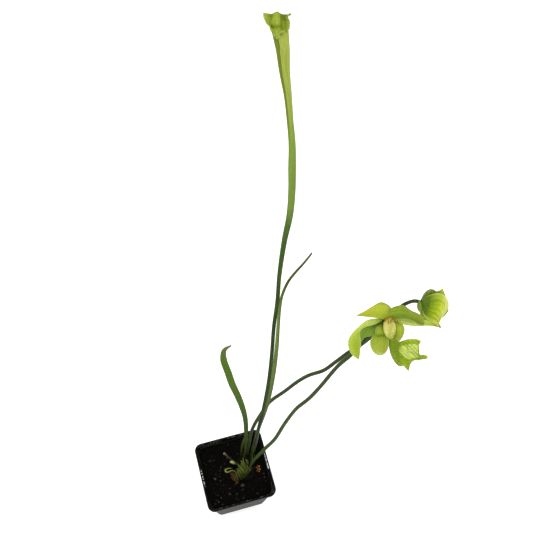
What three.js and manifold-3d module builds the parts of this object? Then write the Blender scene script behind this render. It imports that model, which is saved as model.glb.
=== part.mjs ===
// Potted sarracenia: a pitcher plant with two nodding flowers in a square nursery pot.
// Millimetres. The origin is the centre of the pot's base, +Z is up and -Y is the front.
import * as THREE from 'three';
import { mergeVertices } from 'three/addons/utils/BufferGeometryUtils.js';
import Module from 'manifold-3d';

const wasm = await Module();
wasm.setup();

// Driving dimensions
const GAP = 0.3;
const SOCKET = GAP + 0.1;
const POT = {
  rimHalf: 45, bodyTopHalf: 43, baseHalf: 34, height: 90, wall: 1.4, floor: 2,
  rimHeight: 5, rimCorner: 9, baseCorner: 7, holeRadius: 4, holeRing: 21, holes: 8,
};
const SOIL = { top: 81, lump: 1.2, cells: 15 };
const RHIZOME = { centre: [15, 1, 83], radii: [12.5, 18, 6] };
const SCAPE_RADIUS = 2.4;
const BLADE_THICKNESS = 0.8;
const RECEPTACLE_A = new THREE.Vector3(178, 45, 362);
const RECEPTACLE_B = new THREE.Vector3(231, 64, 334);

// Finishes
const COLOURS = {
  pot: [0x0b0b0c, 0.18], soil: [0x14110f, 0.95], rhizome: [0x4a5a22, 0.7], pitcher: [0x7f9c34, 0.45],
  leaf: [0x5f8a34, 0.5], scape: [0x3c4a26, 0.5], sepal: [0xa3b63c, 0.5], petal: [0xa9bd4c, 0.5],
  pistil: [0xb9c06a, 0.5], stamens: [0x9a6a3c, 0.7], dry: [0x5b4632, 0.85], cut: [0xc9d08c, 0.6],
  bark: [0x8a5230, 0.9], grit: [0xb9b2aa, 0.9],
};

const part = new THREE.Group();

function addNode(name, geometry, finish, place = new THREE.Vector3()) {
  const [color, roughness] = COLOURS[finish];
  const material = new THREE.MeshStandardMaterial({ color, roughness, metalness: 0 });
  const mesh = new THREE.Mesh(geometry, material);
  mesh.name = name;
  mesh.position.copy(place);
  part.add(mesh);
  return mesh;
}

// Closed mesh with shared corners, which the solid library and the builder both need.
function closed(geometry) {
  const bare = geometry.clone();
  bare.deleteAttribute('normal');
  bare.deleteAttribute('uv');
  const merged = mergeVertices(bare, 1e-4);
  merged.computeVertexNormals();
  return merged;
}

function toSolid(geometry) {
  const bare = closed(geometry);
  return new wasm.Manifold(new wasm.Mesh({
    numProp: 3,
    vertProperties: Float32Array.from(bare.attributes.position.array),
    triVerts: Uint32Array.from(bare.index.array),
  }));
}

function toGeometry(solid) {
  const mesh = solid.getMesh();
  const geometry = new THREE.BufferGeometry();
  geometry.setAttribute('position', new THREE.BufferAttribute(Float32Array.from(mesh.vertProperties), 3));
  geometry.setIndex(new THREE.BufferAttribute(Uint32Array.from(mesh.triVerts), 1));
  geometry.computeVertexNormals();
  return geometry;
}

// Value of a list at t in 0..1, straight between its entries.
function along(values, t) {
  const at = Math.min(Math.max(t, 0), 1) * (values.length - 1);
  const i = Math.min(Math.floor(at), values.length - 2);
  return THREE.MathUtils.lerp(values[i], values[i + 1], at - i);
}

// Carries a shape built on z = 0..1 onto a curve: its x follows the curve's side, its y the way it faces.
// shape(t) gives the half width, the half depth and the cup, which lifts the edges towards the face.
function bendOnto(geometry, rows, faces, shape) {
  const curve = new THREE.CatmullRomCurve3(rows.map((row) => new THREE.Vector3(...row.slice(0, 3))));
  const bent = geometry.clone();
  const position = bent.attributes.position;
  const facing = new THREE.Vector3();
  const side = new THREE.Vector3();
  for (let i = 0; i < position.count; i += 1) {
    const t = THREE.MathUtils.clamp(position.getZ(i), 0, 1);
    const tangent = curve.getTangent(t);
    facing.set(...[0, 1, 2].map((axis) => along(faces.map((face) => face[axis]), t)));
    side.crossVectors(facing, tangent).normalize();
    facing.crossVectors(tangent, side);
    const { width, depth, cup } = shape(t);
    const across = position.getX(i);
    const place = curve.getPoint(t);
    place.addScaledVector(side, across * width);
    place.addScaledVector(facing, position.getY(i) * depth + cup * across * across);
    position.setXYZ(i, place.x, place.y, place.z);
  }
  return closed(bent);
}

// Round or flattened stem along rows of [x, y, z, half width].
function stem(rows, { sides = 8, steps = 24, flat = 1, grow = 0, faces = [[0, -1, 0.2]] } = {}) {
  const rod = new THREE.CylinderGeometry(1, 1, 1, sides, steps);
  rod.rotateX(Math.PI / 2);
  rod.translate(0, 0, 0.5);
  const widths = rows.map((row) => row[3] + grow);
  const facing = faces.length > 1 ? faces : [faces[0], faces[0]];
  return bendOnto(rod, rows, facing, (t) => {
    const width = along(widths, t);
    return { width, depth: grow + (width - grow) * flat, cup: 0 };
  });
}

// Thin leaf, sepal or petal along rows of [x, y, z, half width], edges lifted by cup towards its face.
function blade(rows, faces, { cup = 0.3, thickness = BLADE_THICKNESS, across = 4, steps = 10 } = {}) {
  const slab = new THREE.BoxGeometry(2, 1, 1, across, 1, steps);
  slab.translate(0, 0, 0.5);
  const widths = rows.map((row) => row[3]);
  const facing = faces.length > 1 ? faces : [faces[0], faces[0]];
  return bendOnto(slab, rows, facing, (t) => {
    const width = along(widths, t);
    return { width, depth: thickness, cup: cup * width };
  });
}

function roundedSquare(half, radius) {
  const shape = new THREE.Shape();
  const inner = half - radius;
  shape.absarc(inner, inner, radius, 0, Math.PI / 2);
  shape.absarc(-inner, inner, radius, Math.PI / 2, Math.PI);
  shape.absarc(-inner, -inner, radius, Math.PI, 1.5 * Math.PI);
  shape.absarc(inner, -inner, radius, 1.5 * Math.PI, 2 * Math.PI);
  return shape;
}

// Rounded square block from z0 to z1 that widens from half0 to half1.
function taperedBlock(half0, half1, z0, z1, radius) {
  const block = new THREE.ExtrudeGeometry(roundedSquare(half0, radius), {
    depth: z1 - z0, bevelEnabled: false, curveSegments: 5,
  });
  const position = block.attributes.position;
  for (let i = 0; i < position.count; i += 1) {
    const spread = THREE.MathUtils.lerp(1, half1 / half0, position.getZ(i) / (z1 - z0));
    position.setXYZ(i, position.getX(i) * spread, position.getY(i) * spread, position.getZ(i) + z0);
  }
  return toSolid(block);
}

// Half width of the pot's outside at height z.
function potHalf(z) {
  return THREE.MathUtils.lerp(POT.baseHalf, POT.bodyTopHalf, z / POT.height);
}

function nurseryPot() {
  const { height, wall, floor, rimHalf, rimHeight, rimCorner, baseCorner } = POT;
  const above = height + 1;
  const body = taperedBlock(POT.baseHalf, POT.bodyTopHalf, 0, height, baseCorner);
  const rim = taperedBlock(rimHalf, rimHalf, height - rimHeight, height, rimCorner);
  const inner = [potHalf(floor) - wall, potHalf(above) - wall];
  const inside = taperedBlock(...inner, floor, above, baseCorner - wall);
  let pot = body.add(rim).subtract(inside);
  for (let i = 0; i < POT.holes; i += 1) {
    const angle = (i / POT.holes) * 2 * Math.PI;
    const hole = new THREE.CylinderGeometry(POT.holeRadius, POT.holeRadius, 3 * floor, 12);
    hole.rotateX(Math.PI / 2);
    hole.translate(POT.holeRing * Math.cos(angle), POT.holeRing * Math.sin(angle), floor / 2);
    pot = pot.subtract(toSolid(hole));
  }
  return pot;
}

// Height of the soil's uneven top above or below its level.
function soilLump(x, y) {
  return SOIL.lump * (0.5 * Math.sin(x / 5.3 + 1) * Math.cos(y / 6.1) + 0.35 * Math.sin(x / 2.7 - y / 3.4));
}

function soilBlock() {
  const inset = POT.wall + GAP;
  const bottom = POT.floor + GAP;
  const crest = SOIL.top + SOIL.lump;
  const corner = POT.baseCorner - inset;
  const block = taperedBlock(potHalf(bottom) - inset, potHalf(crest) - inset, bottom, crest, corner);
  const span = 2 * POT.rimHalf;
  const cutter = new THREE.BoxGeometry(span, span, 10, SOIL.cells, SOIL.cells, 1);
  cutter.translate(0, 0, 5);
  const position = cutter.attributes.position;
  for (let i = 0; i < position.count; i += 1) {
    const lump = position.getZ(i) < 1 ? soilLump(position.getX(i), position.getY(i)) : 0;
    position.setZ(i, position.getZ(i) + SOIL.top + lump);
  }
  return block.subtract(toSolid(cutter));
}

function ellipsoid(centre, radii, grow = 0) {
  const ball = new THREE.SphereGeometry(1, 16, 10);
  ball.scale(...radii.map((radius) => radius + grow));
  ball.translate(...centre);
  return ball;
}

// Tall pitcher: rows of [x, y, z, half width] from the crown to the mouth's lip.
const PITCHER_ROWS = [
  [22, 7, 85, 2.2], [28, 12, 128, 2.2], [36, 21, 167, 2.2], [47, 36, 209, 2.2],
  [57, 54, 248, 2.2], [64, 71, 281, 2.2], [70, 88, 310, 2.2], [78, 105, 338, 2.3],
  [84, 122, 362, 2.4], [95, 145, 395, 3], [104, 160, 416, 3.6], [110, 176, 435, 3.9],
  [114, 192, 453, 4.2], [118, 209, 471, 3.7], [120, 226, 487, 3.4], [122, 243, 503, 4],
  [123, 261, 519, 5.5], [125, 276, 533, 7], [126, 286, 541, 8],
];
const PITCHER_FACES = [[-0.2, -0.7, 0.7], [-0.2, -0.65, 0.75]];
const PITCHER_STEM = { sides: 10, steps: 54, flat: 0.9, faces: PITCHER_FACES };
const PITCHER_WALL = 0.9;
const HOLLOW_ROWS = PITCHER_ROWS.slice(-6);
const LIP = new THREE.Vector3(126, 286, 541);
const LIP_AXIS = new THREE.Vector3(0.09, 0.75, 0.66).normalize();
const LIP_FRONT = new THREE.Vector3(-0.22, -0.63, 0.745).normalize();
const LIP_SIDE = new THREE.Vector3().crossVectors(LIP_AXIS, LIP_FRONT);

// Point at the mouth given by its distances to the right, along the tube and to the front.
function atMouth(right, up, front) {
  const place = LIP.clone();
  place.addScaledVector(LIP_SIDE, right);
  place.addScaledVector(LIP_AXIS, up);
  place.addScaledVector(LIP_FRONT, front);
  return place.toArray();
}

function tallPitcher() {
  const outer = toSolid(stem(PITCHER_ROWS, PITCHER_STEM));
  const hollowRows = HOLLOW_ROWS.concat([[...atMouth(0, 3, 0), 8.3]]);
  const hollow = toSolid(stem(hollowRows, { ...PITCHER_STEM, steps: 20, grow: -PITCHER_WALL }));
  const hoodRows = [
    [...atMouth(0, -4, -7.2), 5], [...atMouth(0, 4, -7.4), 6], [...atMouth(0, 10, -6.5), 11],
    [...atMouth(0, 16, -3), 14], [...atMouth(0, 21, 3), 13], [...atMouth(0, 23, 9), 7],
  ];
  const hood = toSolid(blade(hoodRows, [LIP_FRONT.toArray(), LIP_AXIS.clone().negate().toArray()], {
    cup: 0.12, thickness: 1, across: 6, steps: 8,
  }));
  const keelRows = [
    [...atMouth(-1, -70, 4), 0.6], [...atMouth(-1, -40, 6.5), 0.6], [...atMouth(0, -14, 7.6), 0.6],
    [...atMouth(0, 0.5, 8), 0.6],
  ];
  const keel = toSolid(stem(keelRows, { sides: 6, steps: 8, flat: 3.5, faces: [LIP_FRONT.toArray()] }));
  return outer.add(keel).subtract(hollow).add(hood);
}

// Leaves and scapes: rows of [x, y, z, half width] from the crown to the tip.
const PHYLLODE_ROWS = [
  [27, 11, 85, 1.6], [33, 17, 126, 1.9], [38, 25, 156, 2.1], [46.5, 34, 178, 2.6],
  [54, 44, 199, 3.4], [65.5, 63.5, 233, 2.9], [74, 83.5, 261, 2.7], [79.5, 99.5, 283, 2.3],
  [84, 111.5, 299, 2], [89, 121.5, 312, 2], [98, 130.5, 325, 2.1], [106.5, 135.5, 332, 2],
  [118, 140.5, 341, 1.8], [125.5, 144, 348, 1.6], [129, 146, 351, 1.2],
];
const SICKLE_ROWS = [
  [13.5, 8.5, 85, 2], [19, 17, 126, 2.6], [24, 37, 165, 3.4], [23, 48, 182, 4.2],
  [20, 59, 198, 4.7], [16, 70, 213, 4.8], [14, 82, 225, 4.7], [12, 94, 236, 4.4],
  [15, 103, 241, 3], [25, 109, 237, 0.9],
];
const SICKLE_FACES = [[-0.6, -0.6, 0.5], [-0.2, -0.5, 0.85]];
const SHORT_LEAF_ROWS = [
  [12, 15.5, 85, 1.5], [14.5, 21, 97, 1.9], [18, 27, 108, 1.7], [22, 32, 117, 0.6],
];
const SCAPE_A_ROWS = [
  [18.5, -3, 85], [23, 1, 96], [41, 6, 128], [54, 8, 153], [67, 15, 182], [82, 20.5, 213],
  [95.5, 21.5, 234], [109, 25, 256], [129, 32, 291], [142, 34, 309], [160, 40, 335],
  [168, 43.5, 346], [173, 47.5, 353.5], [176, 51.2, 358.4], [177, 50.6, 361.6],
  [177.6, 48, 362.4], [178.2, 44, 361.6],
].map((row) => [...row, SCAPE_RADIUS]);
const SCAPE_B_ROWS = [
  [20.5, 14.5, 85], [25, 21, 115], [31, 32, 134], [48, 44, 160], [59, 49, 176], [78, 51, 195],
  [93, 53, 211], [107, 53, 224], [123, 50, 236], [138, 52, 250], [152, 54, 264], [171, 56, 280],
  [194, 64, 303], [213, 70, 323], [220, 69.5, 330], [225.5, 67.5, 334.2], [229.5, 65, 334.8],
  [231.6, 63.8, 333.5],
].map((row) => [...row, SCAPE_RADIUS - (row[2] > 325 ? 0.2 : 0)]);

// Small growth around the crown
const YOUNG_LEAF_ROWS = [
  [6, -11.5, 85, 1.6], [3, -10.5, 88.5, 1.4], [1, -6.5, 91, 1.3], [-0.5, -2.5, 93, 1.3],
  [-4, -0.5, 95, 1.3], [-9, -2, 97, 1.4], [-12.6, 0.5, 98, 1.4], [-9.5, 3.2, 98, 1.2],
  [-3.5, 2.4, 97, 0.6],
];
const SHEATH_ROWS = [
  [5, -6.5, 85, 2.2], [0.5, -7.5, 86.8, 3], [-4, -7.5, 86.8, 2.6], [-9, -6, 84.6, 1.2],
];
const OVAL_STUB_ROWS = [[7.5, 5, 88, 1], [2.5, 8, 91.5, 1.1], [0.5, 9.5, 93, 2.4], [-3, 11.5, 95, 2.2]];
const THIN_STUB_ROWS = [
  [7.5, 9.5, 85, 0.8], [4, 12.5, 88, 0.8], [-1, 16.5, 90, 0.8], [-5, 21.5, 92.5, 1.2],
  [-9.5, 24.5, 94, 1.6],
];
const ROSETTE = [
  { name: 'rosette_leaf_left', rows: [[11, 4.5, 87, 1.4], [10, 8, 95, 1.9], [9, 12, 104, 0.6]] },
  { name: 'rosette_leaf_middle', rows: [[15.5, 5.5, 88, 1.3], [16, 7, 94, 2.1], [16, 9, 101, 1]] },
  { name: 'rosette_leaf_front', rows: [[8, -3, 88, 1.6], [9, -1.5, 93, 1.9], [10.5, 0.5, 98, 0.6]] },
  { name: 'rosette_leaf_right', rows: [[13.5, -1, 88, 1.2], [15.5, -0.5, 93, 1.5], [18.5, 1.5, 97, 0.6]] },
  { name: 'rosette_leaf_low', rows: [[8.5, -10.5, 87, 1.5], [7.5, -12.5, 91, 1.8], [5.5, -16, 93, 0.6]] },
];

// Flower parts: rows of [x, y, z, half width] from the flower's receptacle, and the way each one faces.
const TO_VIEW = [-0.28, -0.36, 0.89];
const FLOWER_A = [
  {
    name: 'sepal_a_left', finish: 'sepal', cup: -0.2, faces: [TO_VIEW, TO_VIEW],
    rows: [[-2.9, -0.6, 2.2, 1.2], [-4.8, 6, 8, 6.6], [-11.5, 9, 10.5, 7.4], [-21.5, 8, 10, 4.2],
      [-31, 7.5, 8, 0.6]],
  },
  {
    name: 'sepal_a_right', finish: 'sepal', cup: -0.25, faces: [TO_VIEW, [0.1, -0.5, 0.8]],
    rows: [[1.2, -0.6, 3, 1.4], [8, 1, 9, 5.6], [16, -2, 12, 6.6], [24, -6.5, 9, 5.8], [31.5, -11, 2, 4.4],
      [38.5, -15, -7, 1.5]],
  },
  {
    name: 'sepal_a_under_right', finish: 'sepal', cup: -0.15, faces: [TO_VIEW, TO_VIEW],
    rows: [[3.4, 1.5, -0.2, 0.9], [12, -3.2, -5.2, 3.6], [20.5, -6, -6.5, 4.4], [29.5, -9, -10, 3.9],
      [38.5, -11, -14, 3], [47, -13, -18, 0.6]],
  },
  {
    name: 'sepal_a_outer_left', finish: 'sepal', cup: -0.3, faces: [TO_VIEW, [-0.6, -0.2, 0.7]],
    rows: [[-3, 0.5, -1.6, 1.2], [-13, 0, -1, 3.6], [-23.5, -2.5, -2, 4.7], [-33, -7, -6, 5.8],
      [-38, -13.5, -12.5, 6.4], [-39, -20.5, -20, 4.8], [-35.5, -27, -27, 0.6]],
  },
  {
    name: 'sepal_a_inner_left', finish: 'sepal', cup: -0.2, faces: [TO_VIEW, TO_VIEW],
    rows: [[-0.2, 0.9, -3.4, 1.2], [-8, -2.5, -8, 4.4], [-16, -4, -13.5, 6.4], [-22.5, -6, -19, 4.2],
      [-27, -9.5, -25, 0.6]],
  },
  {
    name: 'petal_a_left', finish: 'petal', cup: -0.25, faces: [TO_VIEW, TO_VIEW],
    rows: [[-4.3, -2.6, -2.8, 1], [-7.5, -7.5, -3.4, 3.4], [-10, -13, -4, 5], [-12.5, -19, -6.5, 9],
      [-15, -26, -12, 9.4], [-16, -31.5, -18, 3.5]],
  },
  {
    name: 'petal_a_right', finish: 'petal', cup: -0.2, faces: [TO_VIEW, TO_VIEW],
    rows: [[6.2, -3.4, -2.4, 0.9], [9, -8.9, -4.5, 4], [11, -15.2, -6.5, 5.8], [10.5, -20.2, -10, 5.2],
      [8, -24.2, -14, 2]],
  },
];
const FLOWER_B = [
  {
    name: 'sepal_b_front', finish: 'sepal', cup: -0.55, faces: [[-0.5, -0.2, 0.85], [0.6, -0.5, 0.5]],
    rows: [[1.2, -2.3, 2, 1.2], [3.5, -5.5, 9, 8.4], [9, -10.5, 13, 14], [14, -16, 11, 13],
      [16, -22, 4, 8], [13.5, -26, -5, 3], [14.5, -30, -11, 0.6]],
  },
  {
    name: 'sepal_b_top', finish: 'sepal', cup: -0.5, faces: [[-0.3, 0.6, 0.6], [0.3, 0.6, 0.6]],
    rows: [[2, 1.4, 2, 1], [4, 6.5, 7.5, 5.2], [10.5, 9.5, 10, 6], [18, 10.5, 8.5, 4], [23.5, 10, 6, 0.6]],
  },
  {
    name: 'sepal_b_back', finish: 'sepal', cup: -0.4, faces: [[0.3, 0.8, -0.4], [0.8, 0.5, 0.2]],
    rows: [[0.9, 3.1, -0.2, 1], [9, 6.5, -4, 5.6], [18, 7.5, -3, 8], [26, 6, 2, 5], [28.5, 6, 7, 0.6]],
  },
  {
    name: 'sepal_b_low', finish: 'sepal', cup: -0.4, faces: [[-0.9, -0.2, -0.3], [0, -0.9, -0.4]],
    rows: [[-1.6, -2.3, -1.2, 1], [-1, -8.5, -8, 5], [1.5, -16, -12, 7], [7.5, -23.5, -14, 5],
      [15.5, -30, -16, 0.6]],
  },
  {
    name: 'sepal_b_under', finish: 'sepal', cup: -0.45, faces: [[0.2, 0.1, -0.9], [0.9, -0.2, -0.3]],
    rows: [[-1.8, 0.9, -3.2, 0.9], [7.5, -2, -12.5, 6.6], [18, -7, -18, 8.5], [27, -13, -14, 5.5],
      [31, -18, -7, 0.6]],
  },
];

// Dome with pointed arms, open towards the ovary, and the style that carries it.
function umbrella({ centre, axis, right, radius, arms, rise, thickness, rings, segments }) {
  const profile = [];
  for (let i = 0; i <= rings; i += 1) {
    profile.push(new THREE.Vector2(i / rings, thickness));
  }
  for (let i = rings; i >= 0; i -= 1) {
    profile.push(new THREE.Vector2(i / rings, 0));
  }
  const dome = new THREE.LatheGeometry(profile, segments);
  const up = new THREE.Vector3(...axis).normalize();
  const side = new THREE.Vector3(...right);
  side.addScaledVector(up, -side.dot(up)).normalize();
  const ahead = new THREE.Vector3().crossVectors(up, side);
  const position = dome.attributes.position;
  for (let i = 0; i < position.count; i += 1) {
    const out = Math.hypot(position.getX(i), position.getZ(i));
    const angle = Math.atan2(position.getZ(i), position.getX(i));
    let reach = radius;
    for (const arm of arms) {
      const away = Math.atan2(Math.sin(angle - arm.turn), Math.cos(angle - arm.turn));
      reach += arm.length * Math.exp(-((away / arm.spread) ** 2));
    }
    const from = out * reach;
    const place = new THREE.Vector3(...centre);
    place.addScaledVector(side, from * Math.cos(angle));
    place.addScaledVector(ahead, from * Math.sin(angle));
    place.addScaledVector(up, position.getY(i) - rise * (from / radius) ** 2);
    position.setXYZ(i, place.x, place.y, place.z);
  }
  return toSolid(dome);
}

// Arms as [degrees round from the right, extra reach, half spread in radians].
function armsFrom(list) {
  const turn = THREE.MathUtils.degToRad;
  return list.map(([degrees, length, spread]) => ({ turn: turn(degrees), length, spread }));
}

const UMBRELLA_A = {
  centre: [9, -38.5, -9], axis: [0, -0.62, 0.78], right: [0.96, -0.2, 0], radius: 14.5, rise: 4.5,
  thickness: 0.9, rings: 4, segments: 36,
  arms: armsFrom([[34, 6, 0.22], [-14, 10, 0.18], [-82, 6.5, 0.22], [-150, 3, 0.4], [128, 5, 0.4]]),
};
const UMBRELLA_B = {
  centre: [16, -8, -3], axis: [0.83, -0.29, -0.61], right: [0, 0.9, -0.4], radius: 5, rise: 1.6,
  thickness: 0.8, rings: 2, segments: 15,
  arms: armsFrom([[0, 2, 0.2], [72, 2, 0.2], [144, 2, 0.2], [216, 2, 0.2], [288, 2, 0.2]]),
};

// Ovary, style and umbrella grew as one piece.
function pistil({ rows, dome }) {
  return toSolid(stem(rows, { steps: 16 })).add(umbrella(dome));
}

const PISTIL_A = {
  rows: [[0.4, -1.5, -0.5, 1.2], [1, -4.5, -0.6, 2.9], [1, -9, -1, 5.2], [0.6, -14, -2.5, 5.4],
    [1, -19, -4.8, 4.2], [1, -23, -6.5, 2.2], [2.2, -28, -9.5, 1.6], [5, -34, -11, 1.5],
    [9, -38.3, -9.2, 1.4]],
  dome: UMBRELLA_A,
};
const PISTIL_B = {
  rows: [[1.2, -0.5, -0.9, 1], [3.4, -1.2, -2.4, 2.4], [5.8, -2, -4, 2.4], [8, -3, -5, 1.2], [11, -5, -5, 1],
    [15.6, -7.8, -3.4, 1]],
  dome: UMBRELLA_B,
};

// Ring of short stamens that surrounds the foot of an ovary.
function stamenRing({ centre, axis, ring, tube, count, length }) {
  const up = new THREE.Vector3(...axis).normalize();
  const turn = new THREE.Quaternion().setFromUnitVectors(new THREE.Vector3(0, 0, 1), up);
  const collar = new THREE.TorusGeometry(ring, tube, 6, 2 * count);
  collar.applyQuaternion(turn);
  let solid = toSolid(collar);
  for (let i = 0; i < count; i += 1) {
    const angle = (i / count) * 2 * Math.PI;
    const foot = new THREE.Vector3(Math.cos(angle), Math.sin(angle), 0).multiplyScalar(ring);
    const stamen = new THREE.CylinderGeometry(tube * 0.7, tube * 0.9, length, 5);
    stamen.rotateX(Math.PI / 2);
    stamen.translate(foot.x * 1.1, foot.y * 1.1, length / 2);
    stamen.applyQuaternion(turn);
    solid = solid.add(toSolid(stamen));
  }
  return solid.translate(centre);
}

const STAMENS_A = {
  centre: [0.8, -2.8, -0.6], axis: [0.19, -0.91, -0.33], ring: 4.3, tube: 0.45, count: 9, length: 2.2,
};
const STAMENS_B = {
  centre: [2.4, -0.9, -1.5], axis: [0.83, -0.29, -0.61], ring: 2.8, tube: 0.4, count: 6, length: 1.4,
};

// Bracts: small scales between the scape and the sepals.
const BRACT_WIDTHS = [1, 2.3, 2, 0.5];
function bract(places, faces) {
  return blade(places.map((place, i) => [...place, BRACT_WIDTHS[i]]), faces, { cup: -0.25, steps: 6 });
}
const BRACTS_A = [
  {
    name: 'bract_a_left', faces: [[-0.6, 0.6, 0.5]],
    places: [[-3.6, 2.8, 0], [-7, 5.5, -1.5], [-9.5, 8, -4], [-10.5, 9.5, -7.5]],
  },
  {
    name: 'bract_a_right', faces: [[0.5, 0.7, 0.5]],
    places: [[2.7, 3.2, 2], [6.5, 5.5, 1.5], [9.5, 8, -0.5], [11, 9.5, -3.5]],
  },
  {
    name: 'bract_a_low', faces: [[0.5, 0.7, -0.5]],
    places: [[2.5, 4, -1.4], [4.8, 6.5, -4.6], [6.5, 8.5, -8.2], [7, 9, -11.5]],
  },
];
const BRACTS_B = [
  {
    name: 'bract_b_left', faces: [[-0.8, -0.1, 0.7]],
    places: [[-2.7, 0.6, 3.9], [-4.5, -3, 3.6], [-5.5, -7, 1.5], [-4.5, -11, -3]],
  },
  {
    name: 'bract_b_upper', faces: [[-0.8, 0.5, 0.4]],
    places: [[-1.4, 4.2, 2], [-2.5, 8, 2.5], [-2, 12, 1.5], [0, 15, -0.5]],
  },
  {
    name: 'bract_b_low', faces: [[-0.9, 0, -0.4]],
    places: [[-3.2, 1.2, -2.4], [-5, 0.5, -6], [-5.5, -0.5, -10], [-3.5, -1.5, -13.5]],
  },
];

// Loose bits that lie on the soil: place, size and turn.
const BITS = [
  { name: 'bark_chip', finish: 'bark', place: [31.5, -5], size: [6.5, 8, 2.4], turn: 0.5 },
  { name: 'perlite_grain_front', finish: 'grit', place: [-14, -27], size: [3, 2.4, 1.8], turn: 0.4 },
  { name: 'perlite_grain_corner', finish: 'grit', place: [-30, -33], size: [3, 2.2, 1.8], turn: 1.1 },
  { name: 'grit_grain_middle', finish: 'grit', place: [5, -20.5], size: [5, 3.6, 2.2], turn: 0.2 },
];

function bit({ place: [x, y], size, turn }) {
  const stone = new THREE.IcosahedronGeometry(0.5, 1);
  stone.scale(...size);
  stone.rotateZ(turn);
  stone.translate(x, y, SOIL.top + soilLump(x, y) + size[2] / 2 + GAP);
  return closed(stone);
}

// Everything rooted in the rhizome, which is cut to receive it.
const ROOTED = [
  { name: 'long_phyllode', finish: 'leaf', rows: PHYLLODE_ROWS, flat: 0.6, steps: 36 },
  { name: 'sickle_leaf', finish: 'leaf', rows: SICKLE_ROWS, flat: 0.22, steps: 26, faces: SICKLE_FACES },
  { name: 'short_leaf', finish: 'leaf', rows: SHORT_LEAF_ROWS, flat: 0.4, steps: 8 },
  { name: 'scape_a', finish: 'scape', rows: SCAPE_A_ROWS, steps: 44 },
  { name: 'scape_b', finish: 'scape', rows: SCAPE_B_ROWS, steps: 46 },
  { name: 'young_curled_leaf', finish: 'pitcher', rows: YOUNG_LEAF_ROWS, flat: 0.6, steps: 20 },
  { name: 'dry_sheath', finish: 'dry', rows: SHEATH_ROWS, flat: 0.3, steps: 8, faces: [[0, 0.2, 1]] },
  { name: 'oval_cut_stub', finish: 'cut', rows: OVAL_STUB_ROWS, flat: 0.7, steps: 10 },
  { name: 'thin_cut_stub', finish: 'dry', rows: THIN_STUB_ROWS, flat: 0.8, steps: 10 },
  ...ROSETTE.map((leaf) => ({ ...leaf, finish: 'leaf', flat: 0.45, steps: 8 })),
];

let rhizome = toSolid(ellipsoid(RHIZOME.centre, RHIZOME.radii));
let soil = soilBlock().subtract(toSolid(ellipsoid(RHIZOME.centre, RHIZOME.radii, GAP)));
for (const planted of [...ROOTED, { ...PITCHER_STEM, rows: PITCHER_ROWS }]) {
  rhizome = rhizome.subtract(toSolid(stem(planted.rows, { ...planted, grow: SOCKET })));
}

addNode('nursery_pot', toGeometry(nurseryPot()), 'pot');
addNode('peat_soil', toGeometry(soil), 'soil');
addNode('rhizome_crown', toGeometry(rhizome), 'rhizome');
addNode('tall_pitcher', toGeometry(tallPitcher()), 'pitcher');
for (const planted of ROOTED) {
  addNode(planted.name, stem(planted.rows, planted), planted.finish);
}
for (const piece of BITS) {
  addNode(piece.name, bit(piece), piece.finish);
}
for (const [sepals, bracts, pistilOf, stamens, place, letter] of [
  [FLOWER_A, BRACTS_A, PISTIL_A, STAMENS_A, RECEPTACLE_A, 'a'],
  [FLOWER_B, BRACTS_B, PISTIL_B, STAMENS_B, RECEPTACLE_B, 'b'],
]) {
  for (const { name, rows, faces, cup, finish } of sepals) {
    addNode(name, blade(rows, faces, { cup }), finish, place);
  }
  for (const { name, places, faces } of bracts) {
    addNode(name, bract(places, faces), 'sepal', place);
  }
  addNode(`pistil_${letter}`, toGeometry(pistil(pistilOf)), 'pistil', place);
  addNode(`stamens_${letter}`, toGeometry(stamenRing(stamens)), 'stamens', place);
}

export default part;
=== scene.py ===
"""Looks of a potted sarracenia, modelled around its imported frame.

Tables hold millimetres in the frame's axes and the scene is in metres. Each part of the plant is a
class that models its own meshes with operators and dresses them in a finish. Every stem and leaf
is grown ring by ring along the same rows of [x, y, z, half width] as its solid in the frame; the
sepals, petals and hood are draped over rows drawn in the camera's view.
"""

import logging
import math
import random
from collections.abc import Callable, Sequence
from dataclasses import dataclass, replace
from enum import Enum

import bmesh
import bpy
from mathutils import Matrix, Vector


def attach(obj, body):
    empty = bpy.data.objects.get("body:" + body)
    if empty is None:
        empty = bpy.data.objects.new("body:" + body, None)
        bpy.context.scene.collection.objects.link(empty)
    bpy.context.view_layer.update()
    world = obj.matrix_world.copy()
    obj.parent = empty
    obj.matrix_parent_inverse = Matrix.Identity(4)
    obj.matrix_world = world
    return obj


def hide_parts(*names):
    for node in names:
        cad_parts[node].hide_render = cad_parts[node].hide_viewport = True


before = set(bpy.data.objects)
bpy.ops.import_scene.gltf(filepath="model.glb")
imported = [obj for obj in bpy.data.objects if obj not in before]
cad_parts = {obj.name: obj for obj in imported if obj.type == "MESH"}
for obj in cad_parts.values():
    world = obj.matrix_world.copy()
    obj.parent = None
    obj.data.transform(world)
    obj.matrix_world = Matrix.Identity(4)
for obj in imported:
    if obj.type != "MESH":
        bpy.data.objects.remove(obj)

LOG = logging.getLogger("sarracenia")
MM = 0.001
ROOT_BODY = "root"

# A row is a point and a half width. A colour is red, green and blue in thousandths of full light,
# and a stop is a colour after its place in percent of the way.
Pair = tuple[float, float]
Triple = tuple[float, float, float]
Row = tuple[float, float, float, float]
Colour = tuple[float, float, float]
Stop = tuple[float, float, float, float]
SheetRows = tuple[tuple[Triple, ...], ...]
Socket = bpy.types.NodeSocket

ORIGIN = Vector((0.0, 0.0, 0.0)).freeze()
UP: Triple = (0.0, 0.0, 1.0)
FRONT: Triple = (0.0, -1.0, 0.2)
TO_VIEW: Triple = (-0.28, -0.36, 0.89)


# Camera and drawing plane


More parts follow.
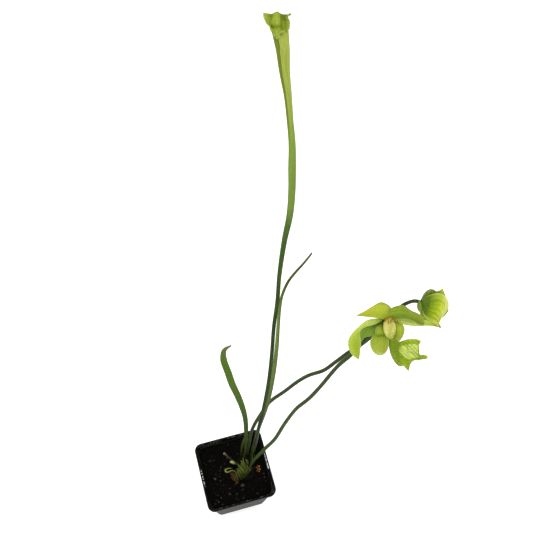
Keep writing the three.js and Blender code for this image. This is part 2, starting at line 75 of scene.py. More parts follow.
@dataclass(frozen=True)
class Camera:
    """The photograph's camera, fitted to the pot's rim."""

    place: Triple = (-49.0, -239.0, 1072.0)
    azimuth: float = -18.1
    elevation: float = 60.9
    roll: float = 2.9
    focal_pixels: float = 750.0
    picture: float = 533.0
    sensor: float = 36.0

    def axes(self) -> Matrix:
        """Returns the camera's right, up and back as columns."""
        a, e, r = (math.radians(angle) for angle in (self.azimuth, self.elevation, self.roll))
        back = Vector((math.sin(a) * math.cos(e), -math.cos(a) * math.cos(e), math.sin(e)))
        right = (-back).cross(Vector(UP)).normalized()
        up = right.cross(-back)
        turned_right = right * math.cos(r) + up * math.sin(r)
        turned_up = up * math.cos(r) - right * math.sin(r)
        return Matrix((turned_right, turned_up, back)).transposed()

    def ray(self, x: float, y: float) -> Vector:
        """Returns the way from the camera through a point of the picture, in its pixels."""
        middle = self.picture / 2
        aim = Vector((x - middle, middle - y, -self.focal_pixels))
        return (self.axes() @ aim).normalized()

    def build(self) -> None:
        """Adds the camera and makes it the scene's own."""
        data = bpy.data.cameras.new("photo_camera")
        data.sensor_width = self.sensor
        data.lens = self.sensor * self.focal_pixels / self.picture
        data.clip_start, data.clip_end = 0.02, 50.0
        camera = bpy.data.objects.new("photo_camera", data)
        bpy.context.scene.collection.objects.link(camera)
        place = Matrix.Translation(Vector(self.place) * MM)
        camera.matrix_world = place @ self.axes().to_4x4()
        bpy.context.scene.camera = camera


@dataclass(frozen=True)
class Sketch:
    """A plane through a point of the plant that faces the camera, to draw outlines on.

    Its points are the picture's x and y in pixels, and a distance towards the camera in millimetres.
    """

    centre: Triple
    camera: Camera = Camera()

    def at(self, point: Triple) -> Vector:
        """Returns a drawn point in metres."""
        x, y, near = point
        eye = Vector(self.camera.place)
        toward = (eye - Vector(self.centre)).normalized()
        ray = self.camera.ray(x, y)
        goal = Vector(self.centre) + toward * near
        return (eye + ray * ((goal - eye).dot(toward) / ray.dot(toward))) * MM

    def rows(self, points: Sequence[Row]) -> tuple[Row, ...]:
        """Returns drawn points with half widths in millimetres as rows of a spine."""
        places = [self.at(point[:3]) / MM for point in points]
        return tuple((*place, point[3]) for place, point in zip(places, points))


def stretch_at(count: int, share: float) -> tuple[int, float]:
    """Returns the stretch of a row of so many points that a share lies in, and how far into it."""
    at = min(max(share, 0.0), 1.0) * (count - 1)
    first = min(int(at), count - 2)
    return first, at - first


def four_around(points: Sequence[Vector], first: int) -> tuple[Vector, ...]:
    """Returns the ends of a stretch between the points before and after it."""
    here, there = points[first], points[first + 1]
    before = points[first - 1] if first > 0 else 2 * here - there
    after = points[first + 2] if first + 2 < len(points) else 2 * there - here
    return before, here, there, after


def through(points: Sequence[Vector], share: float) -> Vector:
    """Reads a smooth curve that passes evenly through points.

    Args:
        points: Two or more points.
        share: Where to read, from 0 to 1.

    Returns:
        The point there.
    """
    first, w = stretch_at(len(points), share)
    before, here, there, after = four_around(points, first)
    bend = 2 * before - 5 * here + 4 * there - after
    swing = 3 * (here - there) + after - before
    return here + (there - before) * (w / 2) + bend * (w**2 / 2) + swing * (w**3 / 2)


# Spines


@dataclass(frozen=True)
class Station:
    """One cross-section of a grown piece, in metres.

    The columns of turn are the side, the face and the way along.
    """

    place: Vector
    turn: Matrix
    width: float
    share: float
    run: float

    def at(self, side: float, face: float, along: float) -> Vector:
        """Returns the point that lies these distances from the station's centre."""
        return self.place + self.turn @ Vector((side, face, along))


def straight_between(values: Sequence[float], share: float) -> float:
    """Reads a list of values at a share of its length.

    Args:
        values: Two or more values, evenly spaced.
        share: Where to read, from 0 to 1.

    Returns:
        The value there, straight between its neighbours.
    """
    first, weight = stretch_at(len(values), share)
    return values[first] + (values[first + 1] - values[first]) * weight


@dataclass(frozen=True)
class Spine:
    """A smooth curve through rows of [x, y, z, half width] that faces a chosen way.

    Attributes:
        rows: Points and half widths, in millimetres.
        faces: The ways that the piece faces, evenly spaced from foot to tip.
        origin: The point that the rows are measured from, in millimetres.
    """

    rows: tuple[Row, ...]
    faces: tuple[Triple, ...] = (FRONT,)
    origin: Triple = (0.0, 0.0, 0.0)

    def point(self, share: float) -> Vector:
        """Returns the curve's point at a share of its rows, in metres."""
        points = [Vector(row[:3]) for row in self.rows]
        first, weight = stretch_at(len(points), share)
        line = four_around(points, first)
        gaps = [math.sqrt((b - a).length) for a, b in zip(line, line[1:])]
        slopes = [(b - a) / gap for a, b, gap in zip(line, line[1:], gaps)]
        leave = slopes[0] - (line[2] - line[0]) / (gaps[0] + gaps[1]) + slopes[1]
        reach = slopes[1] - (line[3] - line[1]) / (gaps[1] + gaps[2]) + slopes[2]
        leave, reach = leave * gaps[1], reach * gaps[1]
        rise = line[2] - line[1]
        bend = 3 * rise - 2 * leave - reach
        turn = leave + reach - 2 * rise
        place = line[1] + leave * weight + bend * weight**2 + turn * weight**3
        return (place + Vector(self.origin)) * MM

    def station(self, share: float, run: float = 0.0) -> Station:
        """Returns the cross-section at a share of the rows.

        Args:
            share: Where it lies, from 0 at the foot to 1 at the tip.
            run: Its distance from the foot along the curve, in metres.
        """
        step = 0.002
        ahead = self.point(min(share + step, 1.0)) - self.point(max(share - step, 0.0))
        along = ahead.normalized()
        face = Vector([straight_between(axis, share) for axis in zip(*self._two_faces())])
        side = face.cross(along).normalized()
        face = along.cross(side)
        width = straight_between([row[3] for row in self.rows], share) * MM
        turn = Matrix((side, face, along)).transposed()
        return Station(self.point(share), turn, width, share, run)

    def stations(self, steps: int, start: float = 0.0) -> list[Station]:
        """Returns evenly spaced cross-sections, each knowing its distance from the foot."""
        shares = [start + (1.0 - start) * i / steps for i in range(steps + 1)]
        found: list[Station] = []
        run = 0.0
        for share in shares:
            if found:
                run += (self.point(share) - found[-1].place).length
            found.append(self.station(share, run))
        return found

    def _two_faces(self) -> tuple[Triple, ...]:
        """Returns the faces, at least two of them."""
        return self.faces if len(self.faces) > 1 else self.faces * 2


# Modelling with operators

SMALLEST_TURN = 1e-6
SMALLEST_CHANGE = 1e-9
DOUBLES = 1e-6


def deselect_all() -> None:
    """Leaves edit mode and deselects every object, the frame's own ones included."""
    if bpy.context.object is not None and bpy.context.object.mode != "OBJECT":
        bpy.ops.object.mode_set(mode="OBJECT")
    bpy.ops.object.select_all(action="DESELECT")


class Outline(Enum):
    """The shape of a cross-section."""

    ROUND = "a closed ring"
    ARC = "an open arc, cupped like a petal"


class Workpiece:
    """One mesh that is modelled with operators."""

    def __init__(self, name: str) -> None:
        """Takes over the object that an operator has just added."""
        self.object = bpy.context.object
        self.rename(name)

    @classmethod
    def circle(cls, name: str, corners: int, filled: bool = False) -> "Workpiece":
        """Starts from a circle of 1 m radius round the origin."""
        deselect_all()
        fill = "NGON" if filled else "NOTHING"
        bpy.ops.mesh.primitive_circle_add(vertices=corners, radius=1.0, fill_type=fill)
        return cls(name)

    @classmethod
    def plane(cls, name: str, half: float) -> "Workpiece":
        """Starts from a flat square of that half width, in metres."""
        deselect_all()
        bpy.ops.mesh.primitive_plane_add(size=2 * half)
        return cls(name)

    @classmethod
    def grid(cls, name: str, half: float, across: int, along: int) -> "Workpiece":
        """Starts from a flat square that is divided into cells across and along."""
        deselect_all()
        bpy.ops.mesh.primitive_grid_add(
            x_subdivisions=across, y_subdivisions=along, size=2 * half
        )
        return cls(name)

    @classmethod
    def ball(cls, name: str, cuts: int) -> "Workpiece":
        """Starts from an icosphere of 1 m radius round the origin."""
        deselect_all()
        bpy.ops.mesh.primitive_ico_sphere_add(subdivisions=cuts, radius=1.0)
        return cls(name)

    def rename(self, name: str) -> None:
        """Names the object and its mesh."""
        self.object.name = name
        self.object.data.name = name

    def choose(self) -> None:
        """Selects this object alone and makes it the active one."""
        deselect_all()
        self.object.select_set(True)
        bpy.context.view_layer.objects.active = self.object

    def edit(self) -> None:
        """Enters edit mode with everything selected."""
        self.choose()
        bpy.ops.object.mode_set(mode="EDIT")
        bpy.ops.mesh.select_all(action="SELECT")

    def leave(self) -> None:
        """Returns to object mode."""
        bpy.ops.object.mode_set(mode="OBJECT")

    def cells(self) -> bmesh.types.BMesh:
        """Returns the mesh that is in edit mode."""
        return bmesh.from_edit_mesh(self.object.data)

    def pick(self, wanted: Callable[[bmesh.types.BMVert], bool]) -> None:
        """Selects the vertices that a test wants, and what lies between them."""
        bpy.ops.mesh.select_mode(type="VERT")
        bpy.ops.mesh.select_all(action="DESELECT")
        mesh = self.cells()
        for vertex in mesh.verts:
            vertex.select_set(wanted(vertex))
        mesh.select_flush(True)
        bmesh.update_edit_mesh(self.object.data)

    def picked(self) -> list[bmesh.types.BMVert]:
        """Returns the selected vertices."""
        return [vertex for vertex in self.cells().verts if vertex.select]

    def extrude(self, shift: Vector) -> None:
        """Extrudes what is selected and moves it."""
        bpy.ops.mesh.extrude_region_move(TRANSFORM_OT_translate={"value": shift})

    def move(self, shift: Vector) -> None:
        """Moves what is selected."""
        bpy.ops.transform.translate(value=shift)

    def turn(self, turn: Matrix, centre: Vector = ORIGIN) -> None:
        """Turns what is selected.

        Args:
            turn: A rotation matrix.
            centre: The point that stays in place.
        """
        axis, angle = turn.to_quaternion().to_axis_angle()
        if abs(angle) < SMALLEST_TURN:
            return
        bpy.ops.transform.rotate(
            value=angle,
            orient_axis="Z",
            orient_type="GLOBAL",
            orient_matrix=axis.to_track_quat("Z", "Y").to_matrix(),
            orient_matrix_type="GLOBAL",
            constraint_axis=(False, False, True),
            center_override=centre,
        )

    def resize(self, ratio: Triple, centre: Vector = ORIGIN, axes: Matrix | None = None) -> None:
        """Scales what is selected.

        Args:
            ratio: How much larger it gets along each axis.
            centre: The point that stays in place.
            axes: The axes as columns, or None for the world's.
        """
        if max(abs(value - 1.0) for value in ratio) < SMALLEST_CHANGE:
            return
        bpy.ops.transform.resize(
            value=ratio,
            orient_type="GLOBAL",
            orient_matrix=axes or Matrix.Identity(3),
            orient_matrix_type="GLOBAL",
            center_override=centre,
        )

    def modify(self, kind: str, **settings: object) -> None:
        """Adds a modifier and applies it.

        Args:
            kind: The modifier's type.
            settings: Its properties and their values.
        """
        self.choose()
        bpy.ops.object.modifier_add(type=kind)
        modifier = self.object.modifiers[-1]
        for name, value in settings.items():
            setattr(modifier, name, value)
        bpy.ops.object.modifier_apply(modifier=modifier.name)

    def roughen(self, height: float, scale: float, depth: int = 2) -> None:
        """Displaces the surface along its normals by clouds of noise.

        Args:
            height: From the lowest to the highest point, in metres.
            scale: The size of the clouds, in metres.
            depth: How many finer layers the noise has.
        """
        clouds = bpy.data.textures.new(self.object.name + "_clouds", "CLOUDS")
        clouds.noise_scale = scale
        clouds.noise_depth = depth
        self.modify(
            "DISPLACE",
            texture=clouds,
            strength=height,
            mid_level=0.5,
            texture_coords="LOCAL",
        )
        bpy.data.textures.remove(clouds)

    def smooth(self, degrees: float | None = None) -> None:
        """Shades the mesh smooth.

        Args:
            degrees: The angle from which an edge stays sharp, or None to smooth them all.
        """
        self.choose()
        if degrees is None:
            bpy.ops.object.shade_smooth()
        else:
            bpy.ops.object.shade_smooth_by_angle(angle=math.radians(degrees))

    def face_outward(self) -> None:
        """Merges doubles and turns every face outward."""
        self.edit()
        bpy.ops.mesh.remove_doubles(threshold=DOUBLES)
        bpy.ops.mesh.normals_make_consistent(inside=False)
        self.leave()

    def take_in(self, others: Sequence["Workpiece"]) -> None:
        """Joins other workpieces into this one."""
        self.choose()
        for other in others:
            other.object.select_set(True)
        bpy.ops.object.join()

    def copy(self, name: str, place: Matrix) -> "Workpiece":
        """Copies the piece with a mesh of its own.

        Args:
            name: The copy's name.
            place: The matrix that moves the copy's mesh.

        Returns:
            The copy.
        """
        twin = self.object.copy()
        twin.data = self.object.data.copy()
        twin.data.transform(place)
        bpy.context.scene.collection.objects.link(twin)
        other = Workpiece.__new__(Workpiece)
        other.object = twin
        other.rename(name)
        return other

    def tone(self, value: float) -> None:
        """Gives the whole mesh one tone, by which a crumb's finish picks its colour."""
        layer = self.object.data.attributes.new("tone", "FLOAT", "POINT")
        layer.data.foreach_set("value", [value] * len(self.object.data.vertices))

    def remove(self) -> None:
        """Deletes the object."""
        bpy.data.objects.remove(self.object)


class Growth(Workpiece):
    """A mesh that is grown from station to station, as by hand.

    Its vertices carry values for materials: share from foot to tip, and across and facing from -1
    to 1 over the width and the depth.
    """

    @classmethod
    def begin(
        cls, name: str, outline: Outline, corners: int, first: Station, depth: float
    ) -> "Growth":
        """Lays the first cross-section.

        Args:
            name: The piece's name.
            outline: The shape of the cross-section.
            corners: Its number of vertices.
            first: Where it lies.
            depth: Its half depth, or the height of its arc, in metres.

        Returns:
            The mesh, in edit mode with its first ring selected.
        """
        count = corners if outline is Outline.ROUND else 3 * (corners - 1)
        grown = cls.circle(name, count)
        grown.edit()
        if outline is Outline.ARC:
            grown._cut_arc()
        grown._label()
        grown.resize((first.width, depth, 1.0))
        grown.turn(first.turn)
        grown.move(first.place)
        grown.last, grown.depth = first, depth
        return grown

    def _cut_arc(self) -> None:
        """Keeps the upper third of the circle and spreads it over a width and height of one."""
        half, low = math.sin(math.pi / 3), math.cos(math.pi / 3)
        self.pick(lambda vertex: vertex.co.y < low - 1e-4)
        bpy.ops.mesh.delete(type="VERT")
        bpy.ops.mesh.select_all(action="SELECT")
        self.move(Vector((0.0, -low, 0.0)))
        self.resize((1.0 / half, 1.0 / (1.0 - low), 1.0))

    def _label(self) -> None:
        """Notes on each vertex how far it lies across the width and the depth."""
        mesh = self.cells()
        across = mesh.verts.layers.float.new("across")
        facing = mesh.verts.layers.float.new("facing")
        mesh.verts.layers.float.new("share")
        for vertex in mesh.verts:
            vertex[across] = vertex.co.x
            vertex[facing] = vertex.co.y
        bmesh.update_edit_mesh(self.object.data)

    def grow(self, station: Station, depth: float) -> None:
        """Extrudes the last cross-section to the next station.

        Args:
            station: Where the new one lies.
            depth: Its half depth, or the height of its arc, in metres.
        """
        last = self.last
        self.extrude(station.place - last.place)
        self.turn(station.turn @ last.turn.transposed(), station.place)
        ratio = (station.width / last.width, depth / self.depth, 1.0)
        self.resize(ratio, station.place, station.turn)
        mesh = self.cells()
        share = mesh.verts.layers.float["share"]
        for vertex in mesh.verts:
            if vertex.select:
                vertex[share] = station.share
        self.last, self.depth = station, depth

    def close_tip(self) -> None:
        """Draws the last cross-section together in one point."""
        bpy.ops.mesh.merge(type="CENTER")

    def close_foot(self) -> None:
        """Fills the open ring at the foot."""
        self.pick(lambda vertex: vertex.is_boundary)
        bpy.ops.mesh.edge_face_add()


# Finishes


def light(colour: Colour) -> tuple[float, ...]:
    """Returns a colour as shares of full light, and opaque."""
    return (*(part / 1000 for part in colour), 1.0)


class Pen:
    """Adds shader nodes to one material and wires them."""

    def __init__(self, name: str) -> None:
        """Starts a material with its one shader."""
        self.material = bpy.data.materials.new(name)
        self.material.use_nodes = True
        self.tree = self.material.node_tree
        self.shader = self.tree.nodes["Principled BSDF"]

    def node(self, kind: str, **settings: object) -> bpy.types.Node:
        """Adds a node of a kind and sets its properties."""
        node = self.tree.nodes.new(kind)
        for name, value in settings.items():
            setattr(node, name, value)
        return node

    def feed(self, socket: Socket, value: object) -> None:
        """Wires an output to a socket, or sets the socket's own value."""
        if isinstance(value, Socket):
            self.tree.links.new(value, socket)
        else:
            socket.default_value = value

    def attribute(self, name: str) -> Socket:
        """Returns a vertex attribute of the piece."""
        return self.node("ShaderNodeAttribute", attribute_name=name).outputs["Fac"]

    def coordinates(self) -> Socket:
        """Returns the object coordinates, in metres."""
        return self.node("ShaderNodeTexCoord").outputs["Object"]

    def noise(self, scale: float, detail: float = 3.0, stretch: Triple | None = None) -> Socket:
        """Returns noise from 0 to 1 on the object coordinates.

        Args:
            scale: How many features it has in a metre.
            detail: How many finer layers it has.
            stretch: How much closer the features lie along each axis.
        """
        node = self.node("ShaderNodeTexNoise")
        where = self.coordinates()
        if stretch is not None:
            mapping = self.node("ShaderNodeMapping")
            self.feed(mapping.inputs["Vector"], where)
            mapping.inputs["Scale"].default_value = stretch
            where = mapping.outputs["Vector"]
        self.feed(node.inputs["Vector"], where)
        node.inputs["Scale"].default_value = scale
        node.inputs["Detail"].default_value = detail
        return node.outputs["Fac"]

    def fibres(self, veins: float, stretch: float) -> Socket:
        """Returns noise from 0 to 1 that is drawn out along a grown piece.

        Args:
            veins: How many features lie between its middle and an edge.
            stretch: How many lie between its foot and its tip.
        """
        join = self.node("ShaderNodeCombineXYZ")
        self.feed(join.inputs[0], self.sum("MULTIPLY", self.attribute("across"), veins))
        self.feed(join.inputs[1], self.sum("MULTIPLY", self.attribute("share"), stretch))
        node = self.node("ShaderNodeTexNoise")
        self.feed(node.inputs["Vector"], join.outputs["Vector"])
        node.inputs["Scale"].default_value = 1.0
        node.inputs["Detail"].default_value = 3.0
        return node.outputs["Fac"]

    def sum(self, what: str, first: object, second: object = 0.0) -> Socket:
        """Returns what a math node makes of one or two values.

        Args:
            what: What it works out, such as ADD or ABSOLUTE.
            first: The first value.
            second: The second value.
        """
        node = self.node("ShaderNodeMath", operation=what)
        self.feed(node.inputs[0], first)
        self.feed(node.inputs[1], second)
        return node.outputs[0]

    def spread(
        self, value: object, low: float, high: float, to_low: float = 0.0, to_high: float = 1.0
    ) -> Socket:
        """Returns a value mapped smoothly from one range to another.

        Args:
            value: The value.
            low: Where the first range starts.
            high: Where it ends.
            to_low: What low becomes.
            to_high: What high becomes.
        """
        node = self.node("ShaderNodeMapRange", interpolation_type="SMOOTHSTEP")
        self.feed(node.inputs["Value"], value)
        limits = {"From Min": low, "From Max": high, "To Min": to_low, "To Max": to_high}
        for name, limit in limits.items():
            node.inputs[name].default_value = limit
        return node.outputs["Result"]

    def ramp(self, value: object, stops: Sequence[Stop]) -> Socket:
        """Returns the colour at a place in a run of colours.

        Args:
            value: The place, from 0 to 1.
            stops: The colours and their places.
        """
        node = self.node("ShaderNodeValToRGB")
        self.feed(node.inputs["Fac"], value)
        elements = node.color_ramp.elements
        while len(elements) < len(stops):
            elements.new(1.0)
        for element, (percent, *colour) in zip(elements, stops):
            element.position = percent / 100
            element.color = light(colour)
        return node.outputs["Color"]

    def mix(self, share: object, first: object, second: object, blend: str = "MIX") -> Socket:
        """Returns a blend of two colours, each an output or a colour in thousandths.

        Args:
            share: How much of the second one there is, from 0 to 1.
            first: The first colour.
            second: The second colour.
            blend: The way to blend.
        """
        node = self.node("ShaderNodeMix", data_type="RGBA", blend_type=blend)
        self.feed(node.inputs[0], share)
        for socket, value in ((node.inputs[6], first), (node.inputs[7], second)):
            self.feed(socket, light(value) if isinstance(value, tuple) else value)
        return node.outputs[2]

    def bump(self, height: object, strength: float, distance: float) -> None:
        """Raises the surface by a pattern.

        Args:
            height: The pattern, from 0 to 1.
            strength: How strongly it shows, from 0 to 1.
            distance: How far its highest points rise, in metres.
        """
        node = self.node("ShaderNodeBump")
        node.inputs["Strength"].default_value = strength
        node.inputs["Distance"].default_value = distance
        self.feed(node.inputs["Height"], height)
        self.feed(self.shader.inputs["Normal"], node.outputs["Normal"])

    def set(self, **values: object) -> None:
        """Sets the shader's own sockets, with underscores for the spaces in their names."""
        for name, value in values.items():
            self.feed(self.shader.inputs[name.replace("_", " ")], value)


@dataclass(frozen=True)
class PlantFinish:
    """Living or dried tissue, coloured from foot to tip with veins that run along it.

    Attributes:
        name: The material's name.
        stops: Colours from foot to tip.
        cross: Tints that follow another attribute, cross_by.
        vein: The colour of the veins, of which veins lie on a half width.
        stretch: How often the veins change from foot to tip.
        margin: The colour of the outer edges.
        shade: Painted shade on a pitcher's side that is turned away: across from shade_edge,
        along from shade_from to shade_until, and wider by shade_lean past the tube's end.
        mottle: How strongly the colour varies in blotches.
        bump: How strongly the veins stand out.
        glow: How much light scatters inside.
    """

    name: str
    stops: tuple[Stop, ...]
    cross: tuple[Stop, ...] = ()
    cross_by: str = "across"
    vein: Colour = (50, 100, 10)
    veins: float = 7.0
    vein_strength: float = 0.4
    stretch: float = 1.5
    margin: Colour = (450, 480, 160)
    margin_strength: float = 0.0
    shade: Colour | None = None
    mottle: float = 0.12
    roughness: float = 0.5
    bump: float = 0.35
    glow: float = 0.08
    shade_edge: Pair = (0.38, 0.46)
    shade_lean: float = 4.2
    shade_from: Pair = (0.72, 0.84)
    shade_until: Pair = (1.1, 1.13)

    def dress(self) -> bpy.types.Material:
        """Builds the material."""
        pen = Pen(self.name)
        share, across = pen.attribute("share"), pen.attribute("across")
        drift = pen.sum("MULTIPLY", pen.sum("SUBTRACT", pen.noise(150.0, 2.0), 0.5), 0.08)
        colour = pen.ramp(pen.sum("ADD", share, drift), self.stops)
        if self.cross:
            place = pen.sum("ADD", pen.sum("MULTIPLY", pen.attribute(self.cross_by), 0.5), 0.5)
            colour = pen.mix(1.0, colour, pen.ramp(place, self.cross), "MULTIPLY")
        # Painted shade on the side of a pitcher that is turned away from the light.
        if self.shade is not None:
            colour = pen.mix(self._painted_shade_mask(pen, share, across), colour, self.shade)
        fibres = pen.fibres(self.veins, self.stretch)
        veins = pen.spread(fibres, 0.5, 0.64)
        colour = pen.mix(pen.sum("MULTIPLY", veins, self.vein_strength), colour, self.vein)
        blotch = pen.spread(pen.noise(700.0, 5.0), 0.3, 0.7, 1.0 - self.mottle, 1.0 + self.mottle)
        streak = pen.spread(fibres, 0.3, 0.5, 1.0 + self.mottle, 1.0)
        grey = pen.node("ShaderNodeCombineColor")
        for socket in grey.inputs:
            pen.feed(socket, pen.sum("MULTIPLY", blotch, streak))
        colour = pen.mix(1.0, colour, grey.outputs["Color"], "MULTIPLY")
        if self.margin_strength > 0.0:
            edge = pen.spread(pen.sum("ABSOLUTE", across), 0.78, 1.0, 0.0, self.margin_strength)
            colour = pen.mix(edge, colour, self.margin)
        fine = pen.noise(2600.0, 2.0)
        height = pen.sum("ADD", pen.sum("MULTIPLY", veins, -0.8), pen.sum("MULTIPLY", fine, 0.4))
        pen.bump(height, self.bump, 0.0005)
        rough = pen.spread(fine, 0.25, 0.75, self.roughness - 0.06, self.roughness + 0.08)
        pen.set(Base_Color=colour, Roughness=rough, Subsurface_Weight=self.glow)
        pen.set(Subsurface_Radius=(0.6, 0.9, 0.15), Subsurface_Scale=0.0015)
        pen.set(IOR=1.4, Specular_IOR_Level=0.18)
        return pen.material

    def _painted_shade_mask(self, pen: Pen, share: Socket, across: Socket) -> Socket:
        """Returns how much painted shade each place gets on the upper side that is turned away."""
        past = pen.sum("MAXIMUM", pen.sum("SUBTRACT", share, 1.0), 0.0)
        lean = pen.sum("ADD", across, pen.sum("MULTIPLY", past, self.shade_lean))
        begun = pen.spread(share, *self.shade_from)
        ended = pen.spread(share, *self.shade_until, 1.0, 0.0)
        upper = pen.sum("MULTIPLY", begun, ended)
        return pen.sum("MULTIPLY", pen.spread(lean, *self.shade_edge), upper)


@dataclass(frozen=True)
class MouldedFinish:
    """Black moulded plastic: dust, and painted floor reflection, inner sheen and rim glints.

    A pair of numbers says where a zone begins and is full, or begins to end and has ended: heights,
    half widths or places from front to back, in metres.
    """

    name: str = "pot_black_plastic"
    colour: Colour = (1.2, 1.2, 1.3)
    # Dust outside, with a painted reflection of the floor that is strongest on the front wall.
    dust_and_reflection: Colour = (58, 57, 49)
    # Painted sheen on the inner wall above the soil.
    sheen: Colour = (26, 25, 22)
    # Painted glints on the rim's bead.
    glint: Colour = (620, 620, 600)
    wall_top: Pair = (0.083, 0.0845)
    front: Pair = (-0.036, -0.026)
    bead_inside: Pair = (0.0418, 0.0422)
    bead_outside: Pair = (0.0430, 0.0434)
    patch: Pair = (0.009, 0.0125)
    crest: Pair = (0.0872, 0.0878)
    inside: Pair = (0.0416, 0.0419)
    soil_line: Pair = (0.0825, 0.0835)

    def dress(self) -> bpy.types.Material:
        """Builds the material."""
        pen = Pen(self.name)
        apart = pen.node("ShaderNodeSeparateXYZ")
        pen.feed(apart.inputs[0], pen.coordinates())
        x, y = (pen.sum("ABSOLUTE", apart.outputs[axis]) for axis in "XY")
        z = apart.outputs["Z"]
        streaks = pen.noise(70.0, 5.0, (1.0, 1.0, 3.0))
        outside = pen.spread(z, *self.wall_top, 1.0, 0.0)
        # Dust and painted floor reflection, full on the front wall and weaker behind it.
        front = pen.spread(apart.outputs["Y"], *self.front, 1.0, 0.4)
        dust_and_reflection = pen.sum("MULTIPLY", pen.spread(streaks, 0.3, 0.7, 0.7, 1.15), front)
        specks = pen.spread(pen.noise(1700.0, 3.0), 0.67, 0.74, 0.0, 0.35)
        dust_and_reflection_mask = pen.sum("MAXIMUM", pen.sum("MULTIPLY", outside, dust_and_reflection), specks)
        colour = pen.mix(dust_and_reflection_mask, self.colour, self.dust_and_reflection)
        # Painted glints: highlights of the lamps on the rim's bead.
        colour = pen.mix(self._painted_glints(pen, x, y, z), colour, self.glint)
        # Painted sheen: grey patches of reflection on the inner wall, above the soil.
        inner = pen.spread(pen.sum("MAXIMUM", x, y), *self.inside, 1.0, 0.0)
        inner = pen.sum("MULTIPLY", inner, pen.spread(z, *self.soil_line))
        sheen = pen.sum("MULTIPLY", inner, pen.spread(pen.noise(110.0, 3.0), 0.42, 0.62))
        colour = pen.mix(sheen, colour, self.sheen)
        matt = pen.sum("MULTIPLY", outside, 0.3)
        rough = pen.sum("ADD", pen.spread(streaks, 0.2, 0.9, 0.25, 0.45), matt)
        pen.bump(pen.sum("ADD", streaks, pen.noise(320.0, 2.0)), 0.08, 0.0006)
        pen.set(Base_Color=colour, Roughness=rough, IOR=1.45, Specular_IOR_Level=0.07)
        return pen.material

    def _painted_glints(self, pen: Pen, x: Socket, y: Socket, z: Socket) -> Socket:
        """Returns where painted glints lie on the rim's bead: strongest mid left and right, faint
        elsewhere.
        """
        beads = []
        for axis in (x, y):
            ended = pen.spread(axis, *self.bead_outside, 1.0, 0.0)
            beads.append(pen.sum("MULTIPLY", pen.spread(axis, *self.bead_inside), ended))
        # Breaks the painted glints into dashes.
        glint_dashes = pen.spread(pen.noise(420.0, 4.0, (0.3, 1.0, 0.3)), 0.44, 0.49)
        patch = pen.spread(y, *self.patch, 1.0, 0.0)
        faint = pen.spread(pen.noise(330.0, 3.0), 0.5, 0.6, 0.0, 0.12)
        glint_mask = pen.sum("MULTIPLY", pen.sum("MULTIPLY", beads[0], glint_dashes), patch)
        glint_mask = pen.sum("MAXIMUM", glint_mask, pen.sum("MULTIPLY", beads[1], faint))
        return pen.sum("MULTIPLY", glint_mask, pen.spread(z, *self.crest))


@dataclass(frozen=True)
class PeatFinish:
    """Wet peat, nearly black, with dark brown fibres and a few greyer grains."""

    name: str = "wet_peat"
    dark: Colour = (1.8, 1.8, 1.4)
    brown: Colour = (7, 5.5, 3.5)
    grey: Colour = (18, 17, 15)

    def dress(self) -> bpy.types.Material:
        """Builds the material."""
        pen = Pen(self.name)
        fibres = pen.spread(pen.noise(900.0, 5.0, (1.0, 0.35, 1.0)), 0.5, 0.72)
        colour = pen.mix(fibres, self.dark, self.brown)
        grains = pen.spread(pen.noise(520.0, 2.0), 0.68, 0.76, 0.0, 0.8)
        colour = pen.mix(grains, colour, self.grey)
        pen.bump(pen.noise(1300.0, 6.0), 0.8, 0.0012)
        pen.set(Base_Color=colour, Roughness=0.85, IOR=1.3, Specular_IOR_Level=0.04)
        return pen.material


@dataclass(frozen=True)
class CrumbFinish:
    """Loose crumbs whose tone differs from grain to grain.

    Attributes:
        name: The material's name.
        stops: Colours that the tone attribute of a grain picks from.
        grain: Features a metre of the grain's own pattern.
        roughness: The surface's roughness.
    """

    name: str
    stops: tuple[Stop, ...]
    grain: float = 1400.0
    roughness: float = 0.85

    def dress(self) -> bpy.types.Material:
        """Builds the material."""
        pen = Pen(self.name)
        own = pen.sum("MULTIPLY", pen.sum("SUBTRACT", pen.noise(self.grain, 4.0), 0.5), 0.35)
        colour = pen.ramp(pen.sum("ADD", pen.attribute("tone"), own), self.stops)
        pen.bump(pen.noise(2 * self.grain, 4.0), 0.5, 0.0006)
        pen.set(Base_Color=colour, Roughness=self.roughness, IOR=1.4, Specular_IOR_Level=0.1)
        return pen.material


@dataclass(frozen=True)
class StudioFinish:
    """The plain pale floor."""

    name: str = "studio_floor"
    colour: Colour = (900, 900, 900)
    cloudy: Colour = (840, 860, 840)
    lift: float = 0.45

    def dress(self) -> bpy.types.Material:
        """Builds the material."""
        pen = Pen(self.name)
        faint = pen.spread(pen.noise(3.0, 2.0), 0.0, 1.0, 0.0, 0.04)
        colour = pen.mix(faint, self.colour, self.cloudy)
        pen.set(Base_Color=colour, Roughness=0.8, IOR=1.3, Specular_IOR_Level=0.1)
        pen.set(Emission_Color=(1.0, 1.0, 1.0, 1.0), Emission_Strength=self.lift)
        return pen.material


# The dark first stops are painted shade at the foot, low in the pot among the leaves.
SCAPE_GREEN = PlantFinish(
    "scape_grey_green",
    ((0, 12, 20, 6), (6, 34, 56, 12), (20, 42, 66, 16), (50, 34, 50, 13), (80, 26, 40, 9),
     (93, 24, 46, 3), (100, 34, 64, 5)),
    vein=(16, 24, 8), veins=2.5, stretch=24.0, glow=0.02,
)
# The dark first stops are painted shade at the foot, low in the pot among the leaves.
SICKLE_GREEN = PlantFinish(
    "sickle_green",
    ((0, 8, 14, 2), (12, 20, 36, 4), (25, 40, 85, 8), (50, 70, 130, 10), (80, 80, 145, 14),
     (90, 100, 150, 30), (96, 170, 160, 90), (100, 120, 90, 60)),
    cross=((0, 1000, 1000, 1000), (50, 900, 920, 900), (100, 800, 840, 800)),
    vein=(35, 70, 8), veins=3.0, stretch=8.0,
)
